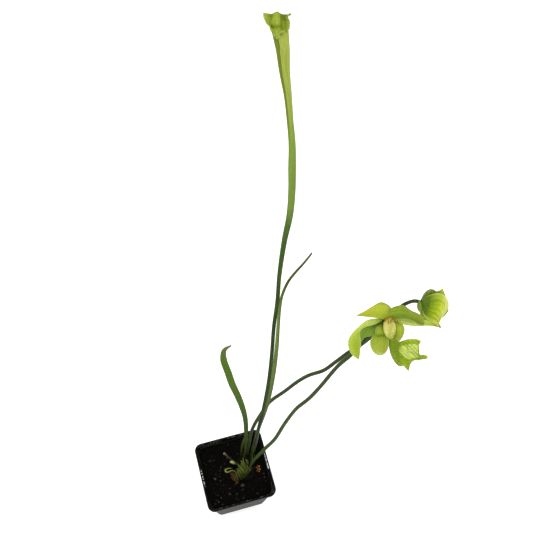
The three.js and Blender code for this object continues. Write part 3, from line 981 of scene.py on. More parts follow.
# The dark first stops are painted shade at the foot, low in the pot among the leaves.
PHYLLODE_GREEN = PlantFinish(
    "phyllode_green",
    ((0, 8, 13, 3), (10, 18, 30, 5), (20, 75, 110, 20), (40, 120, 180, 35), (50, 130, 190, 40),
     (58, 110, 170, 30), (68, 60, 100, 10), (74, 50, 75, 10), (86, 70, 80, 25), (97, 90, 80, 35),
     (100, 50, 40, 20)),
    cross=((0, 500, 550, 300), (30, 600, 660, 400), (42, 1100, 1050, 1200), (80, 1150, 1100, 1300),
           (100, 900, 900, 900)),
    vein=(45, 80, 10), veins=2.0, stretch=14.0,
)
# Painted shade: darker foot low in the pot, and cross tints and shade on the turned-away left.
PITCHER_GREEN = PlantFinish(
    "pitcher_green",
    ((0, 4, 8, 1), (6, 10, 17, 1), (20, 12, 22, 2), (41, 14, 34, 2), (50, 30, 66, 8),
     (56, 46, 102, 14), (61, 130, 210, 35), (77, 180, 270, 38), (88, 280, 340, 55),
     (100, 310, 360, 55)),
    cross=((0, 1000, 1000, 1000), (75, 1000, 1000, 1000), (90, 840, 840, 700),
           (100, 800, 800, 600)),
    vein=(160, 220, 24), veins=3.5, vein_strength=0.35, stretch=14.0, mottle=0.06,
    shade=(115, 150, 7),
)
# Partly painted shade inside the tube, and partly the throat's own dark veins.
THROAT_GREEN = PlantFinish(
    "throat_green",
    ((0, 140, 190, 14), (100, 270, 340, 45)),
    vein=(80, 120, 6), veins=5.0, vein_strength=0.75,
)
# Painted shade low in the mouth and in the folded lobes, and a painted highlight at the left edge.
HOOD_GREEN = PlantFinish(
    "hood_green",
    ((0, 160, 220, 14), (20, 240, 310, 30), (32, 330, 410, 45), (80, 320, 390, 45),
     (100, 260, 290, 35)),
    cross=((0, 1400, 1350, 1900), (7, 1300, 1300, 1700), (16, 1150, 1150, 1300),
           (25, 800, 840, 600), (30, 860, 900, 700), (34, 950, 960, 850), (62, 950, 950, 950),
           (68, 800, 820, 600), (86, 500, 560, 300), (95, 620, 600, 420), (100, 900, 800, 750)),
    vein=(140, 190, 12), veins=7.0, vein_strength=0.5, stretch=1.0, margin=(360, 420, 120),
    margin_strength=0.4,
)
# The cross tints paint shade on the upper edge, which bends back.
YELLOW_SEPAL = PlantFinish(
    "sepal_yellow_green",
    ((0, 260, 330, 25), (30, 370, 430, 30), (60, 380, 420, 30), (85, 340, 380, 20),
     (100, 260, 300, 20)),
    cross=((0, 400, 520, 400), (10, 800, 850, 800), (25, 1000, 1000, 1000), (100, 950, 950, 800)),
    vein=(340, 420, 20), veins=6.0,
)
OLIVE_SEPAL = PlantFinish(
    "sepal_olive",
    ((0, 240, 320, 30), (30, 200, 280, 16), (75, 200, 260, 10), (100, 270, 310, 20)),
    cross=((0, 1000, 1000, 1000), (50, 1000, 1000, 1000), (80, 740, 800, 700),
           (100, 850, 900, 800)),
    vein=(100, 160, 4), veins=9.0, vein_strength=0.55, stretch=1.0,
)
PALE_SEPAL = PlantFinish(
    "sepal_pale",
    ((0, 400, 480, 100), (25, 540, 620, 180), (45, 460, 540, 100), (70, 360, 430, 30),
     (100, 400, 440, 60)),
    cross=((0, 1000, 1000, 1000), (40, 840, 900, 600), (70, 840, 900, 600),
           (100, 1000, 1000, 1000)),
    vein=(240, 340, 15), veins=7.0, vein_strength=0.55, margin=(520, 540, 200), margin_strength=0.5,
)
PALE_UNDER = PlantFinish(
    "sepal_pale_under",
    ((0, 500, 560, 140), (50, 580, 670, 150), (72, 400, 480, 50), (100, 280, 340, 15)),
    vein=(360, 480, 40), veins=5.0, stretch=1.0, margin=(550, 580, 240), margin_strength=0.6,
)
# Partly painted shade for sepals lying in shadow behind others, and partly their own deep green.
SEPAL_IN_SHADE = PlantFinish(
    "sepal_green_in_shade",
    ((0, 20, 36, 2), (12, 30, 55, 3), (26, 80, 140, 8), (45, 180, 300, 30), (100, 200, 340, 35)),
    vein=(100, 180, 12), veins=5.0, margin=(220, 320, 60), margin_strength=0.25,
)
# The dark first stops are painted shadow on the claw.
PETAL = PlantFinish(
    "petal_green_yellow",
    ((0, 25, 50, 3), (10, 30, 60, 4), (20, 170, 240, 14), (36, 240, 320, 26), (44, 130, 190, 4),
     (54, 240, 310, 24), (80, 310, 360, 34), (92, 420, 460, 130), (100, 480, 500, 200)),
    vein=(240, 310, 12), veins=6.0, margin=(460, 500, 140), margin_strength=0.6,
)
PETAL_LEAN = PlantFinish(
    "petal_leaning",
    ((0, 140, 200, 10), (30, 340, 420, 30), (70, 360, 420, 35), (92, 500, 520, 160),
     (100, 600, 600, 300)),
    vein=(260, 340, 15), veins=5.0, margin=(440, 500, 100), margin_strength=0.5,
)
# The pale stops in the middle are a painted highlight where the globe bulges at its right.
GLOBE_SEPAL = PlantFinish(
    "sepal_globe",
    ((0, 60, 110, 2), (17, 75, 130, 2), (28, 260, 350, 12), (40, 460, 530, 40), (52, 640, 630, 160),
     (64, 560, 580, 70), (80, 400, 470, 30), (90, 260, 320, 10), (100, 200, 230, 10)),
    cross=((0, 1000, 1000, 1000), (25, 1000, 1000, 1000), (60, 950, 1000, 700),
           (100, 750, 820, 400)),
    vein=(120, 200, 2), veins=9.0, vein_strength=0.6, margin=(500, 560, 120), margin_strength=0.7,
)
# Painted shade: the top sepal's outside lies in shade; its blotches and bumps are its own.
TOP_SEPAL_IN_SHADE = PlantFinish(
    "sepal_top_in_shade",
    ((0, 80, 130, 8), (50, 110, 170, 12), (85, 160, 220, 20), (100, 240, 280, 30)),
    vein=(30, 60, 3), veins=7.0, vein_strength=0.6, stretch=4.0, mottle=0.4, bump=0.8,
)
OLIVE_TIP = PlantFinish(
    "sepal_olive_tip",
    ((0, 80, 130, 8), (50, 200, 250, 16), (75, 500, 560, 60), (100, 620, 660, 80)),
    vein=(200, 250, 10), veins=5.0,
)
LOW_SEPAL = PlantFinish(
    "sepal_low_olive",
    ((0, 130, 200, 4), (50, 160, 240, 4), (80, 200, 260, 8), (100, 200, 230, 15)),
    vein=(100, 160, 3), veins=6.0, margin=(240, 300, 20), margin_strength=0.25,
)
BRACT_GREEN = PlantFinish(
    "bract_grey_green",
    ((0, 130, 190, 25), (100, 240, 310, 45)),
    cross=((0, 350, 400, 350), (35, 1000, 1000, 1000), (100, 1000, 1000, 1000)),
    vein=(70, 110, 10), veins=4.0, margin=(260, 320, 90), margin_strength=0.5,
)
OVARY_CREAM = PlantFinish(
    "ovary_cream",
    ((0, 340, 200, 20), (12, 380, 280, 50), (20, 500, 460, 130), (40, 530, 520, 150),
     (54, 420, 440, 80), (66, 220, 300, 15), (100, 200, 280, 10)),
    cross=((0, 1000, 1000, 1000), (12, 1000, 1000, 1000), (25, 800, 840, 600),
           (60, 1000, 1000, 1000), (100, 750, 800, 500)),
    vein=(340, 370, 40), veins=3.0, bump=0.5,
)
# Cross tints by side: painted shade on the left, painted highlight on the right facing the light.
UMBRELLA_GREEN = PlantFinish(
    "umbrella_green",
    ((0, 480, 570, 120), (49, 460, 560, 100), (53, 210, 300, 6), (80, 240, 330, 10),
     (95, 260, 340, 20), (100, 290, 350, 50)),
    cross=((0, 600, 640, 400), (24, 620, 660, 400), (36, 1000, 1000, 1000),
           (100, 1100, 1050, 1400)),
    cross_by="side", vein=(140, 240, 4), veins=6.0, vein_strength=0.85, stretch=0.6, bump=0.6,
    mottle=0.25,
)
STAMEN_BROWN = PlantFinish(
    "stamen_brown",
    ((0, 300, 280, 30), (50, 300, 200, 20), (100, 250, 120, 15)),
    vein=(140, 70, 10), veins=2.0, roughness=0.65, glow=0.03,
)
CROWN_GREEN = PlantFinish(
    "crown_green",
    ((0, 12, 15, 1), (35, 34, 45, 3), (70, 68, 90, 8), (100, 90, 110, 12)),
    cross=((0, 350, 380, 350), (30, 900, 900, 900), (60, 1200, 1200, 1100), (100, 400, 440, 400)),
    vein=(8, 13, 2), veins=3.0, vein_strength=0.6, stretch=3.0, mottle=0.3,
)
YOUNG_GREEN = PlantFinish(
    "young_leaf_green",
    ((0, 30, 25, 8), (30, 80, 75, 22), (50, 160, 170, 45), (70, 220, 250, 60), (100, 100, 130, 20)),
    vein=(50, 60, 10), veins=2.0, stretch=10.0,
)
DRY_BROWN = PlantFinish(
    "dry_papery_brown",
    ((0, 30, 18, 4), (30, 70, 38, 9), (60, 36, 13, 4), (100, 16, 6, 3)),
    vein=(12, 5, 2), veins=6.0, vein_strength=0.7, mottle=0.3, roughness=0.6, bump=0.8, glow=0.02,
)
CUT_STUB = PlantFinish(
    "cut_stub",
    ((0, 12, 18, 3), (50, 20, 28, 6), (68, 140, 180, 40), (80, 260, 300, 100),
     (100, 320, 340, 170)),
    vein=(90, 110, 30), veins=2.0,
)
DRY_STUB = PlantFinish(
    "dry_stub",
    ((0, 10, 13, 3), (60, 30, 30, 10), (78, 60, 35, 15), (90, 160, 110, 80), (100, 240, 180, 140)),
    vein=(20, 13, 6), veins=2.0, mottle=0.3, roughness=0.65,
)
RHIZOME_BARK = CrumbFinish(
    "rhizome_bark",
    ((0, 1.5, 1.5, 1), (50, 3, 2.8, 2), (75, 8, 7.5, 4), (100, 12, 12, 6)),
    grain=900.0, roughness=0.9,
)
PEAT_CRUMB = CrumbFinish(
    "peat_crumb",
    ((0, 1.5, 1.5, 1), (60, 3.5, 3, 2.5), (82, 10, 8, 6), (100, 60, 48, 40)),
)
BARK = CrumbFinish(
    "bark_orange_brown",
    ((0, 40, 16, 4), (40, 130, 50, 12), (70, 240, 100, 30), (100, 420, 240, 100)),
    grain=900.0,
)
GRIT = CrumbFinish(
    "pale_grit",
    ((0, 15, 12, 10), (40, 40, 32, 28), (60, 80, 60, 54), (100, 160, 130, 120)),
    grain=900.0,
)


def adopt(piece: Workpiece, node: str | None, slot: str, *materials: bpy.types.Material) -> None:
    """Dresses a finished piece and hands it to the frame.

    Args:
        piece: The finished mesh.
        node: The solid that it stands for, or None for detail beside one.
        slot: The record's material slot; not used.
        materials: Its finish, and that of its inside if it has one.
    """
    places = [polygon.material_index for polygon in piece.object.data.polygons]
    piece.object.data.materials.clear()
    for material in materials:
        piece.object.data.materials.append(material)
    if len(materials) > 1:
        piece.object.data.polygons.foreach_set("material_index", places)
    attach(piece.object, ROOT_BODY)
    if node is not None:
        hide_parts(node)
    LOG.info("%s: %d faces", piece.object.name, len(piece.object.data.polygons))


@dataclass(frozen=True)
class Piece:
    """One mesh with one finish, which most often stands for one solid.

    Attributes:
        name: The mesh's name.
        node: The solid that it stands for, or None for detail beside one.
        slot: The record's material slot.
        finish: Its finish.
    """

    name: str
    node: str | None
    slot: str
    finish: PlantFinish | CrumbFinish

    def build(self) -> Workpiece:
        """Models the piece."""
        raise NotImplementedError

    def dress(self) -> None:
        """Builds the piece and gives it its finish."""
        adopt(self.build(), self.node, self.slot, self.finish.dress())


# Grown pieces

DENT_SIZE = 0.006
RUFFLE_SIZE = 0.008
SHEET_RUFFLE_SIZE = 0.007
FLATTEST = 1e-5
DRAWN_DOUBLES = 2e-5


def slimmed(station: Station, amount: float, run: float = 0.06) -> Station:
    """Returns a station made slimmer near the foot of its piece.

    Args:
        station: The station.
        amount: How much slimmer it is at the foot, as a share.
        run: How far from the foot this ends, in metres.
    """
    ratio = 1.0 - amount * max(1.0 - station.run / run, 0.0)
    return replace(station, width=station.width * ratio)


@dataclass(frozen=True)
class Stem(Piece):
    """A round or flattened stem or leaf, closed at both ends.

    Attributes:
        flat: Its depth as a share of its width.
        blunt: Whether it ends bluntly, as where it was cut.
        dent: The height of its dents in millimetres.
        slim: How much slimmer it is at the foot, as a share.
    """

    spine: Spine
    steps: int
    flat: float = 1.0
    corners: int = 12
    blunt: bool = False
    dent: float = 0.0
    slim: float = 0.0

    def build(self) -> Growth:
        """Grows the stem and rounds its tip."""
        stations = [slimmed(station, self.slim) for station in self.spine.stations(self.steps)]
        first = stations[0]
        stem = Growth.begin(self.name, Outline.ROUND, self.corners, first, first.width * self.flat)
        for station in stations[1:]:
            stem.grow(station, station.width * self.flat)
        self._round_tip(stem)
        stem.close_foot()
        stem.leave()
        stem.face_outward()
        if self.dent:
            stem.roughen(self.dent * MM, DENT_SIZE)
        stem.modify("SUBSURF", levels=1, render_levels=1)
        stem.smooth()
        return stem

    def _round_tip(self, stem: Growth) -> None:
        """Draws the last ring in to a point, quickly on a blunt end."""
        last = stem.last
        lift = 0.1 if self.blunt else 0.5
        for ratio, step in ((0.75, lift), (0.35, lift * 0.7)):
            last = replace(last, place=last.at(0.0, 0.0, last.width * step), share=1.0)
            tip = replace(last, width=last.width * ratio)
            stem.grow(tip, tip.width * self.flat)
        stem.close_tip()


@dataclass(frozen=True)
class Blade(Piece):
    """A thin cupped bract or scale.

    Attributes:
        cup: The height of its arc as a share of its half width.
        thickness: Its thickness in millimetres.
        ruffle: The height of its unevenness in millimetres.
    """

    spine: Spine
    cup: float = 0.25
    steps: int = 14
    corners: int = 11
    thickness: float = 0.7
    ruffle: float = 0.35

    def build(self) -> Growth:
        """Grows the blade and gives it its thickness."""
        stations = [self._sunk(station) for station in self.spine.stations(self.steps)]
        first = stations[0]
        blade = Growth.begin(self.name, Outline.ARC, self.corners, first, self._rise(first))
        for station in stations[1:]:
            blade.grow(station, self._rise(station))
        blade.leave()
        blade.face_outward()
        if self.ruffle:
            blade.roughen(self.ruffle * MM, RUFFLE_SIZE)
        blade.modify("SOLIDIFY", thickness=self.thickness * MM, offset=0.0, use_even_offset=True)
        blade.modify("SUBSURF", levels=2, render_levels=2)
        blade.smooth()
        return blade

    def _rise(self, station: Station) -> float:
        """Returns the height of the arc at a station, in metres and never nothing."""
        return max(station.width * self.cup, FLATTEST)

    def _sunk(self, station: Station) -> Station:
        """Returns the station with its arc's crest, not its edges, on the spine."""
        return replace(station, place=station.at(0.0, -abs(station.width * self.cup), 0.0))


@dataclass(frozen=True)
class Sheet(Piece):
    """A thin sepal, petal or hood whose surface is drawn over the photograph row by row.

    Attributes:
        sketch: The plane that it is drawn on.
        rows: Rows of drawn points from foot to tip, each from one edge to the other.
        cells: Its number of cells across and along.
        thickness: Its thickness in millimetres.
        ruffle: The height of its unevenness in millimetres.
    """

    sketch: Sketch
    rows: SheetRows
    cells: tuple[int, int] = (12, 20)
    thickness: float = 0.7
    ruffle: float = 0.3

    def surface(self, across: float, share: float) -> Vector:
        """Returns a point of the sheet, across from 0 to 1 and share from foot to tip."""
        line = [through([self.sketch.at(point) for point in row], across) for row in self.rows]
        return through(line, share)

    def build(self) -> Workpiece:
        """Drapes a grid over the drawn rows and gives it its thickness."""
        sheet = Workpiece.grid(self.name, 0.5, *self.cells)
        sheet.edit()
        mesh = sheet.cells()
        over = mesh.verts.layers.float.new("across")
        share = mesh.verts.layers.float.new("share")
        for vertex in mesh.verts:
            x, y = vertex.co.x + 0.5, vertex.co.y + 0.5
            vertex[over], vertex[share] = 2 * x - 1, y
            vertex.co = self.surface(x, y)
        bmesh.update_edit_mesh(sheet.object.data)
        bpy.ops.mesh.remove_doubles(threshold=DRAWN_DOUBLES)
        sheet.leave()
        sheet.face_outward()
        if self.ruffle:
            sheet.roughen(self.ruffle * MM, SHEET_RUFFLE_SIZE)
        sheet.modify("SOLIDIFY", thickness=self.thickness * MM, offset=0.0, use_even_offset=True)
        sheet.modify("SUBSURF", levels=1, render_levels=1)
        sheet.smooth()
        return sheet


# Pot and soil


@dataclass(frozen=True)
class NurseryPot:
    """A square black nursery pot with rounded corners, a beaded rim and drain holes."""

    base_half: float = 34.0
    top_half: float = 43.0
    rim_half: float = 45.0
    height: float = 90.0
    wall: float = 1.4
    floor: float = 2.0
    base_corner: float = 7.0
    hole_radius: float = 4.0
    hole_ring: float = 21.0
    holes: int = 8

    def half_at(self, z: float) -> float:
        """Returns the outer half width at a height."""
        return self.base_half + (self.top_half - self.base_half) * z / self.height

    def profile(self) -> list[Pair]:
        """Returns half widths and heights from the foot, over the rim, to the floor inside."""
        rim, top = self.rim_half, self.height
        inner = self.half_at(top) - self.wall
        return [
            (self.base_half, 0.9),
            (self.half_at(30.0), 30.0),
            (self.half_at(82.0), 82.0),
            (self.half_at(84.6), 84.6),
            (rim - 0.5, 84.9),
            (rim, 85.4),
            (rim, 88.9),
            (rim - 0.35, 89.7),
            (rim - 1.0, top),
            (rim - 1.9, top - 0.25),
            (rim - 2.5, top - 0.9),
            (inner + 0.5, top - 1.3),
            (inner, top - 2.2),
            (self.half_at(82.0) - self.wall, 82.0),
            (self.half_at(self.floor) - self.wall, self.floor),
        ]

    def build(self) -> Workpiece:
        """Draws the pot up from its base and cuts the drain holes."""
        pot = Workpiece.plane("pot_shell", (self.base_half - 0.8) * MM)
        pot.edit()
        bpy.ops.mesh.bevel(
            offset=self.base_corner * MM, segments=10, affect="VERTICES", profile=0.5
        )
        half, z = self.base_half - 0.8, 0.0
        for next_half, next_z in self.profile():
            pot.extrude(Vector((0.0, 0.0, (next_z - z) * MM)))
            ratio = next_half / half
            pot.resize((ratio, ratio, 1.0), Vector((0.0, 0.0, next_z * MM)))
            half, z = next_half, next_z
        pot.leave()
        pot.face_outward()
        cutter = self._drills()
        pot.modify("BOOLEAN", object=cutter.object, operation="DIFFERENCE", solver="EXACT")
        cutter.remove()
        pot.modify("BEVEL", width=0.25 * MM, segments=2, angle_limit=math.radians(50))
        pot.smooth(40.0)
        return pot

    def _drills(self) -> Workpiece:
        """Returns a ring of round cutters where the drain holes go."""
        drill = Workpiece.circle("drill", 24, filled=True)
        drill.edit()
        drill.resize((self.hole_radius * MM, self.hole_radius * MM, 1.0))
        drill.move(Vector((self.hole_ring * MM, 0.0, -2.0 * MM)))
        drill.extrude(Vector((0.0, 0.0, 3.0 * self.floor * MM)))
        drill.leave()
        drill.face_outward()
        turn = 2 * math.pi / self.holes
        rest = [drill.copy("drill", Matrix.Rotation(i * turn, 4, "Z")) for i in range(1, self.holes)]
        drill.take_in(rest)
        return drill

    def dress(self) -> None:
        """Builds the pot and gives it its finish."""
        adopt(self.build(), "nursery_pot", "pot_black", MouldedFinish().dress())


@dataclass(frozen=True)
class PottingSoil:
    """Peat that fills the pot to below its rim, with loose crumbs on top."""

    pot: NurseryPot
    top: float = 81.0
    gap: float = 0.3
    cells: int = 84
    crumbs: int = 760
    rhizome_reach: Pair = (12.6, 18.2)
    rhizome_at: Pair = (15.0, 1.0)
    knot: float = 7.0
    corner_cut: float = 1.82
    crumb_shapes: tuple[Triple, ...] = ((1.0, 0.7, 0.55), (0.8, 0.85, 0.6), (1.3, 0.45, 0.4))

    def build(self) -> Workpiece:
        """Raises a rough sheet into a block and trims it to the pot's inside."""
        peat = Workpiece.grid("peat_bed", self.pot.rim_half * MM, self.cells, self.cells)
        peat.edit()
        peat.move(Vector((0.0, 0.0, self.top * MM)))
        peat.leave()
        peat.roughen(2.4 * MM, 0.012, 3)
        peat.roughen(1.2 * MM, 0.0035, 2)
        peat.edit()
        peat.pick(lambda vertex: vertex.is_boundary)
        peat.extrude(Vector((0.0, 0.0, -(self.top + 5.0) * MM)))
        bpy.ops.mesh.edge_face_add()
        peat.leave()
        peat.face_outward()
        mould = self._mould()
        peat.modify("BOOLEAN", object=mould.object, operation="INTERSECT", solver="EXACT")
        mould.remove()
        peat.smooth(60.0)
        return peat

    def _mould(self) -> Workpiece:
        """Returns the room inside the pot, less its clearance."""
        inset = self.pot.wall + self.gap
        low, high = self.pot.floor + self.gap, self.top + 4.0
        first = self.pot.half_at(low) - inset
        mould = Workpiece.plane("soil_mould", first * MM)
        mould.edit()
        mould.move(Vector((0.0, 0.0, low * MM)))
        corner = self.pot.base_corner - inset
        bpy.ops.mesh.bevel(offset=corner * MM, segments=8, affect="VERTICES")
        mould.extrude(Vector((0.0, 0.0, (high - low) * MM)))
        ratio = (self.pot.half_at(high) - inset) / first
        mould.resize((ratio, ratio, 1.0), Vector((0.0, 0.0, high * MM)))
        mould.leave()
        mould.face_outward()
        return mould

    def scatter(self) -> Workpiece:
        """Models three crumbs and strews copies of them over the bed."""
        dice = random.Random(7)
        shapes = [self._crumb(i) for i in range(len(self.crumb_shapes))]
        reach = self.pot.half_at(self.top) - self.pot.wall - 2.2
        strewn = []
        while len(strewn) < self.crumbs:
            x, y = dice.uniform(-reach, reach), dice.uniform(-reach, reach)
            if abs(x) + abs(y) > self.corner_cut * reach:
                continue
            size = dice.uniform(0.45, 1.15) + (dice.random() ** 6) * 1.2
            spin = Matrix.Rotation(dice.uniform(0, 2 * math.pi), 4, "Z")
            tip = Matrix.Rotation(dice.uniform(-0.6, 0.6), 4, "X")
            height = self.top + 0.35 + self._over_rhizome(x, y)
            place = Matrix.Translation(Vector((x, y, height)) * MM)
            shape = shapes[dice.randrange(len(shapes))]
            crumb = shape.copy("crumb", place @ spin @ tip @ Matrix.Scale(size * MM, 4))
            crumb.tone(dice.random() ** 1.6)
            strewn.append(crumb)
        pile = strewn[0]
        pile.take_in(strewn[1:])
        pile.rename("peat_crumbs")
        for shape in shapes:
            shape.remove()
        pile.smooth(50.0)
        return pile

    def _over_rhizome(self, x: float, y: float) -> float:
        """Returns how far the rhizome lifts a crumb at a place, in millimetres."""
        x_share = (x - self.rhizome_at[0]) / self.rhizome_reach[0]
        y_share = (y - self.rhizome_at[1]) / self.rhizome_reach[1]
        return self.knot * math.sqrt(max(1.0 - x_share**2 - y_share**2, 0.0))

    def _crumb(self, seed: int) -> Workpiece:
        """Returns one irregular crumb of about 1 m, to be scaled down."""
        crumb = Workpiece.ball(f"crumb_shape_{seed}", 2)
        crumb.edit()
        crumb.resize(self.crumb_shapes[seed])
        bpy.ops.transform.vertex_random(offset=0.16, seed=seed)
        crumb.leave()
        return crumb

    def dress(self) -> None:
        """Builds the soil and its crumbs and gives them their finishes."""
        adopt(self.build(), "peat_soil", "peat", PeatFinish().dress())
        adopt(self.scatter(), None, "peat", PEAT_CRUMB.dress())


@dataclass(frozen=True)
class LooseBit(Piece):
    """A chip or grain that lies on the soil, made of a few irregular lumps.

    Attributes:
        place: Its centre in millimetres.
        size: Its full sizes in millimetres.
        turn: Its turn about the vertical, in radians.
        lumps: Offsets and scales of its lumps, as shares of its size.
        tones: The tones of its lumps in turn.
    """

    place: Triple
    size: Triple
    turn: float
    lumps: tuple[Row, ...] = ((0.0, 0.0, 0.0, 1.0),)
    tones: tuple[float, ...] = (0.35, 0.85, 0.5, 0.65, 0.25, 0.75, 0.45)

    def build(self) -> Workpiece:
        """Models the lumps and joins them."""
        made = [self._lump(i, lump) for i, lump in enumerate(self.lumps)]
        if len(made) > 1:
            made[0].take_in(made[1:])
        made[0].smooth(45.0)
        return made[0]

    def _lump(self, seed: int, lump: Row) -> Workpiece:
        """Returns one lump in its place."""
        piece = Workpiece.ball(self.name, 3)
        piece.edit()
        bpy.ops.transform.vertex_random(offset=0.2, seed=seed + 3)
        half = Vector(self.size) * 0.5 * MM
        piece.resize(tuple(half * lump[3]))
        piece.turn(Matrix.Rotation(self.turn + seed * 1.9, 3, "Z"))
        offset = Vector([share * size * MM for share, size in zip(lump, self.size)])
        piece.move(Vector(self.place) * MM + offset)
        piece.leave()
        piece.roughen(0.5 * MM, 0.0016)
        piece.tone(self.tones[seed])
        return piece


# Crown


@dataclass(frozen=True)
class Crown:
    """The rhizome at the soil's surface and all the small growth round it, drawn row by row."""

    centre: Triple = (15.0, 1.0, 83.0)
    radii: Triple = (12.0, 17.4, 5.4)
    sketch: Sketch = Sketch((11.0, 0.0, 92.0))
    rosette: tuple[tuple[str, tuple[Row, ...]], ...] = (
        ("left", ((243.5, 476.5, -4, 1.6), (241, 471, 0, 1.9), (239.2, 466, 1, 1.4),
                  (237.8, 463.6, 1, 0.5))),
        ("middle", ((246, 474.5, -2, 1.7), (245.8, 469, 3, 1.7), (245, 465, 4.5, 1.1),
                    (244.2, 462, 5, 0.4))),
        ("front", ((241.5, 474.5, -1, 1.4), (240.8, 470, 2, 1.6), (241.8, 466.4, 3.5, 0.5))),
        ("right", ((246.5, 474.5, -3, 1.5), (249.5, 470.6, 1, 1.5), (251.8, 468.4, 2, 0.5))),
        ("low", ((242, 479, -6, 1.4), (240, 475.4, -2, 1.7), (238.6, 471.5, 0, 1.1),
                 (238.4, 469, 0, 0.3))),
    )
    leaf_bases: tuple[tuple[Row, ...], ...] = (
        ((248.3, 472.5, 0, 1.1), (246.8, 469.5, 3, 1.9), (244.6, 465.8, 4.5, 1.8),
         (242.2, 462.4, 5, 1.2), (240.7, 460.5, 5, 0.4)),
        ((247.4, 473, 0, 1.2), (244.2, 470.4, 3, 1.8), (240.8, 467.4, 4, 1.6), (237.6, 464.8, 4, 0.5)),
        ((249.3, 472, -1, 0.9), (249.2, 469.6, 2, 1.4), (247.8, 467, 3, 1.1), (246.8, 465.4, 3, 0.4)),
        ((246.6, 466, 1, 1.1), (247.6, 463.4, 3, 1.8), (246.6, 460.2, 3.4, 1.6), (245.4, 459.4, 3, 0.5)),
        ((243.6, 477, -3, 1.6), (241.6, 473.4, 1, 2), (239.4, 470.2, 2, 1.5), (237.4, 468.2, 2, 0.4)),
        ((245.6, 476, -2, 1.5), (244.2, 472.6, 2, 1.9), (242, 469.4, 3.6, 1.7), (239.6, 467, 3.6, 0.5)),
        ((241.2, 479, -4, 1.4), (239.8, 476, -1, 1.8), (238.2, 472.6, 1, 1.4), (237, 469.4, 1, 0.4)),
        ((245.8, 468.8, 2, 1.3), (244.2, 464.6, 5, 1.3), (243.4, 461.6, 6, 0.9), (243.1, 457.6, 6.5, 0.5)),
        ((248.8, 471.5, 0, 1.1), (250.4, 466, 2, 1.1), (252.2, 460, 3, 0.7), (252.8, 455.5, 3, 0.4)),
        ((244.6, 474.6, -1, 1.5), (246.4, 472, 2, 1.5), (247.4, 468.6, 3.2, 1.2), (247.2, 466.4, 3, 0.4)),
    )
    heart: tuple[Row, ...] = (
        (241, 480, -8, 2), (241.5, 477, -5, 4.2), (243, 473, -3, 6.8), (243.4, 469.5, -2, 7.6),
        (243.4, 466, -2, 6.4), (243.2, 463, -2.5, 3.6), (243.2, 461, -3, 1.2),
    )

    def rhizome(self) -> Workpiece:
        """Models the rhizome as a knobbly lump."""
        lump = Workpiece.ball("rhizome_knot", 5)
        lump.edit()
        lump.resize(tuple(radius * MM for radius in self.radii))
        lump.move(Vector(self.centre) * MM)
        lump.leave()
        lump.roughen(3.4 * MM, 0.005, 2)
        lump.roughen(1.6 * MM, 0.0018, 2)
        lump.tone(0.5)
        lump.smooth()
        return lump

    def bases(self) -> Growth:
        """Grows the leaf bases that crowd over the rhizome and joins them."""
        looks = (None, "leaf_green", CROWN_GREEN)
        spine = Spine(self.sketch.rows(self.heart), (TO_VIEW,))
        heart = Stem("crown_heart", *looks, spine, 18, flat=0.45, corners=20, dent=1.6).build()
        bases = []
        for i, points in enumerate(self.leaf_bases):
            spine = Spine(self.sketch.rows(points), (TO_VIEW,))
            bases.append(Stem(f"leaf_base_{i}", *looks, spine, 9, flat=0.45).build())
        heart.take_in(bases)
        heart.rename("leaf_bases")
        return heart

    def stems(self) -> list[Stem]:
        """Returns the small leaves and stubs round the crown."""
        young = self.sketch.rows((
            (238.4, 481, -5, 1.1), (237.5, 477.5, -1, 1), (236.5, 474, 1, 0.95), (235.2, 471.6, 2.5, 0.9),
            (233, 470.5, 3.5, 0.85), (230.3, 471, 4, 0.9), (227.5, 472.2, 4, 1), (225.5, 471.3, 4.5, 1.1),
            (225.9, 469.4, 5, 1), (228.3, 468.4, 5, 0.85), (231.8, 468.4, 5, 0.5),
        ))
        oval = self.sketch.rows((
            (243, 468.5, -1, 0.9), (240, 465.4, 2, 0.9), (237, 464.2, 3, 0.7), (235, 463.4, 3.2, 1.6),
            (232.6, 462.3, 3.5, 2.3), (230.4, 461.6, 3.6, 1.7),
        ))
        thin = self.sketch.rows((
            (239, 464, -2, 0.7), (234, 460.6, 0, 0.8), (230, 458.6, 1, 0.9), (227.4, 456.4, 1.5, 1.3),
            (225.2, 454.2, 2, 1.6), (223.6, 453.2, 2, 1.3),
        ))
        found = [
            Stem("young_leaf", "young_curled_leaf", "pitcher_green", YOUNG_GREEN, Spine(young), 30,
                 flat=0.8),
            Stem("stub_oval", "oval_cut_stub", "cut_face", CUT_STUB, Spine(oval), 14,
                 flat=0.8, blunt=True),
            Stem("stub_thin", "thin_cut_stub", "dry_leaf", DRY_STUB, Spine(thin), 14,
                 blunt=True, dent=0.4),
        ]
        for name, points in self.rosette:
            looks = (f"rosette_leaf_{name}", "leaf_green", CROWN_GREEN)
            spine = Spine(self.sketch.rows(points))
            found.append(Stem(f"rosette_{name}", *looks, spine, 10, flat=0.5))
        return found

    def sheath(self) -> Growth:
        """Grows the three papery scales of the dried sheath and joins them."""
        scales = (
            ((237.5, 480, -5, 2.6), (234.5, 476.5, -1.5, 3.5), (231.5, 474, -0.5, 2.9),
             (229.2, 472.4, -2, 0.8)),
            ((237, 481.5, -6, 2), (234.5, 479.5, -3, 2.4), (232, 478, -3, 1.6), (230, 477, -4, 0.4)),
            ((238.5, 481.5, -6, 1.6), (237, 482.6, -4, 1.8), (235.8, 484, -4, 1.2), (235, 485.6, -5, 0.3)),
        )
        grown = []
        for i, points in enumerate(scales):
            spine = Spine(self.sketch.rows(points), (TO_VIEW,))
            blade = Blade(
                f"sheath_scale_{i}", None, "dry_leaf", DRY_BROWN, spine,
                cup=0.5, steps=9, corners=9, thickness=0.5, ruffle=1.4,
            )
            grown.append(blade.build())
        grown[0].take_in(grown[1:])
        grown[0].rename("sheath_scales")
        return grown[0]

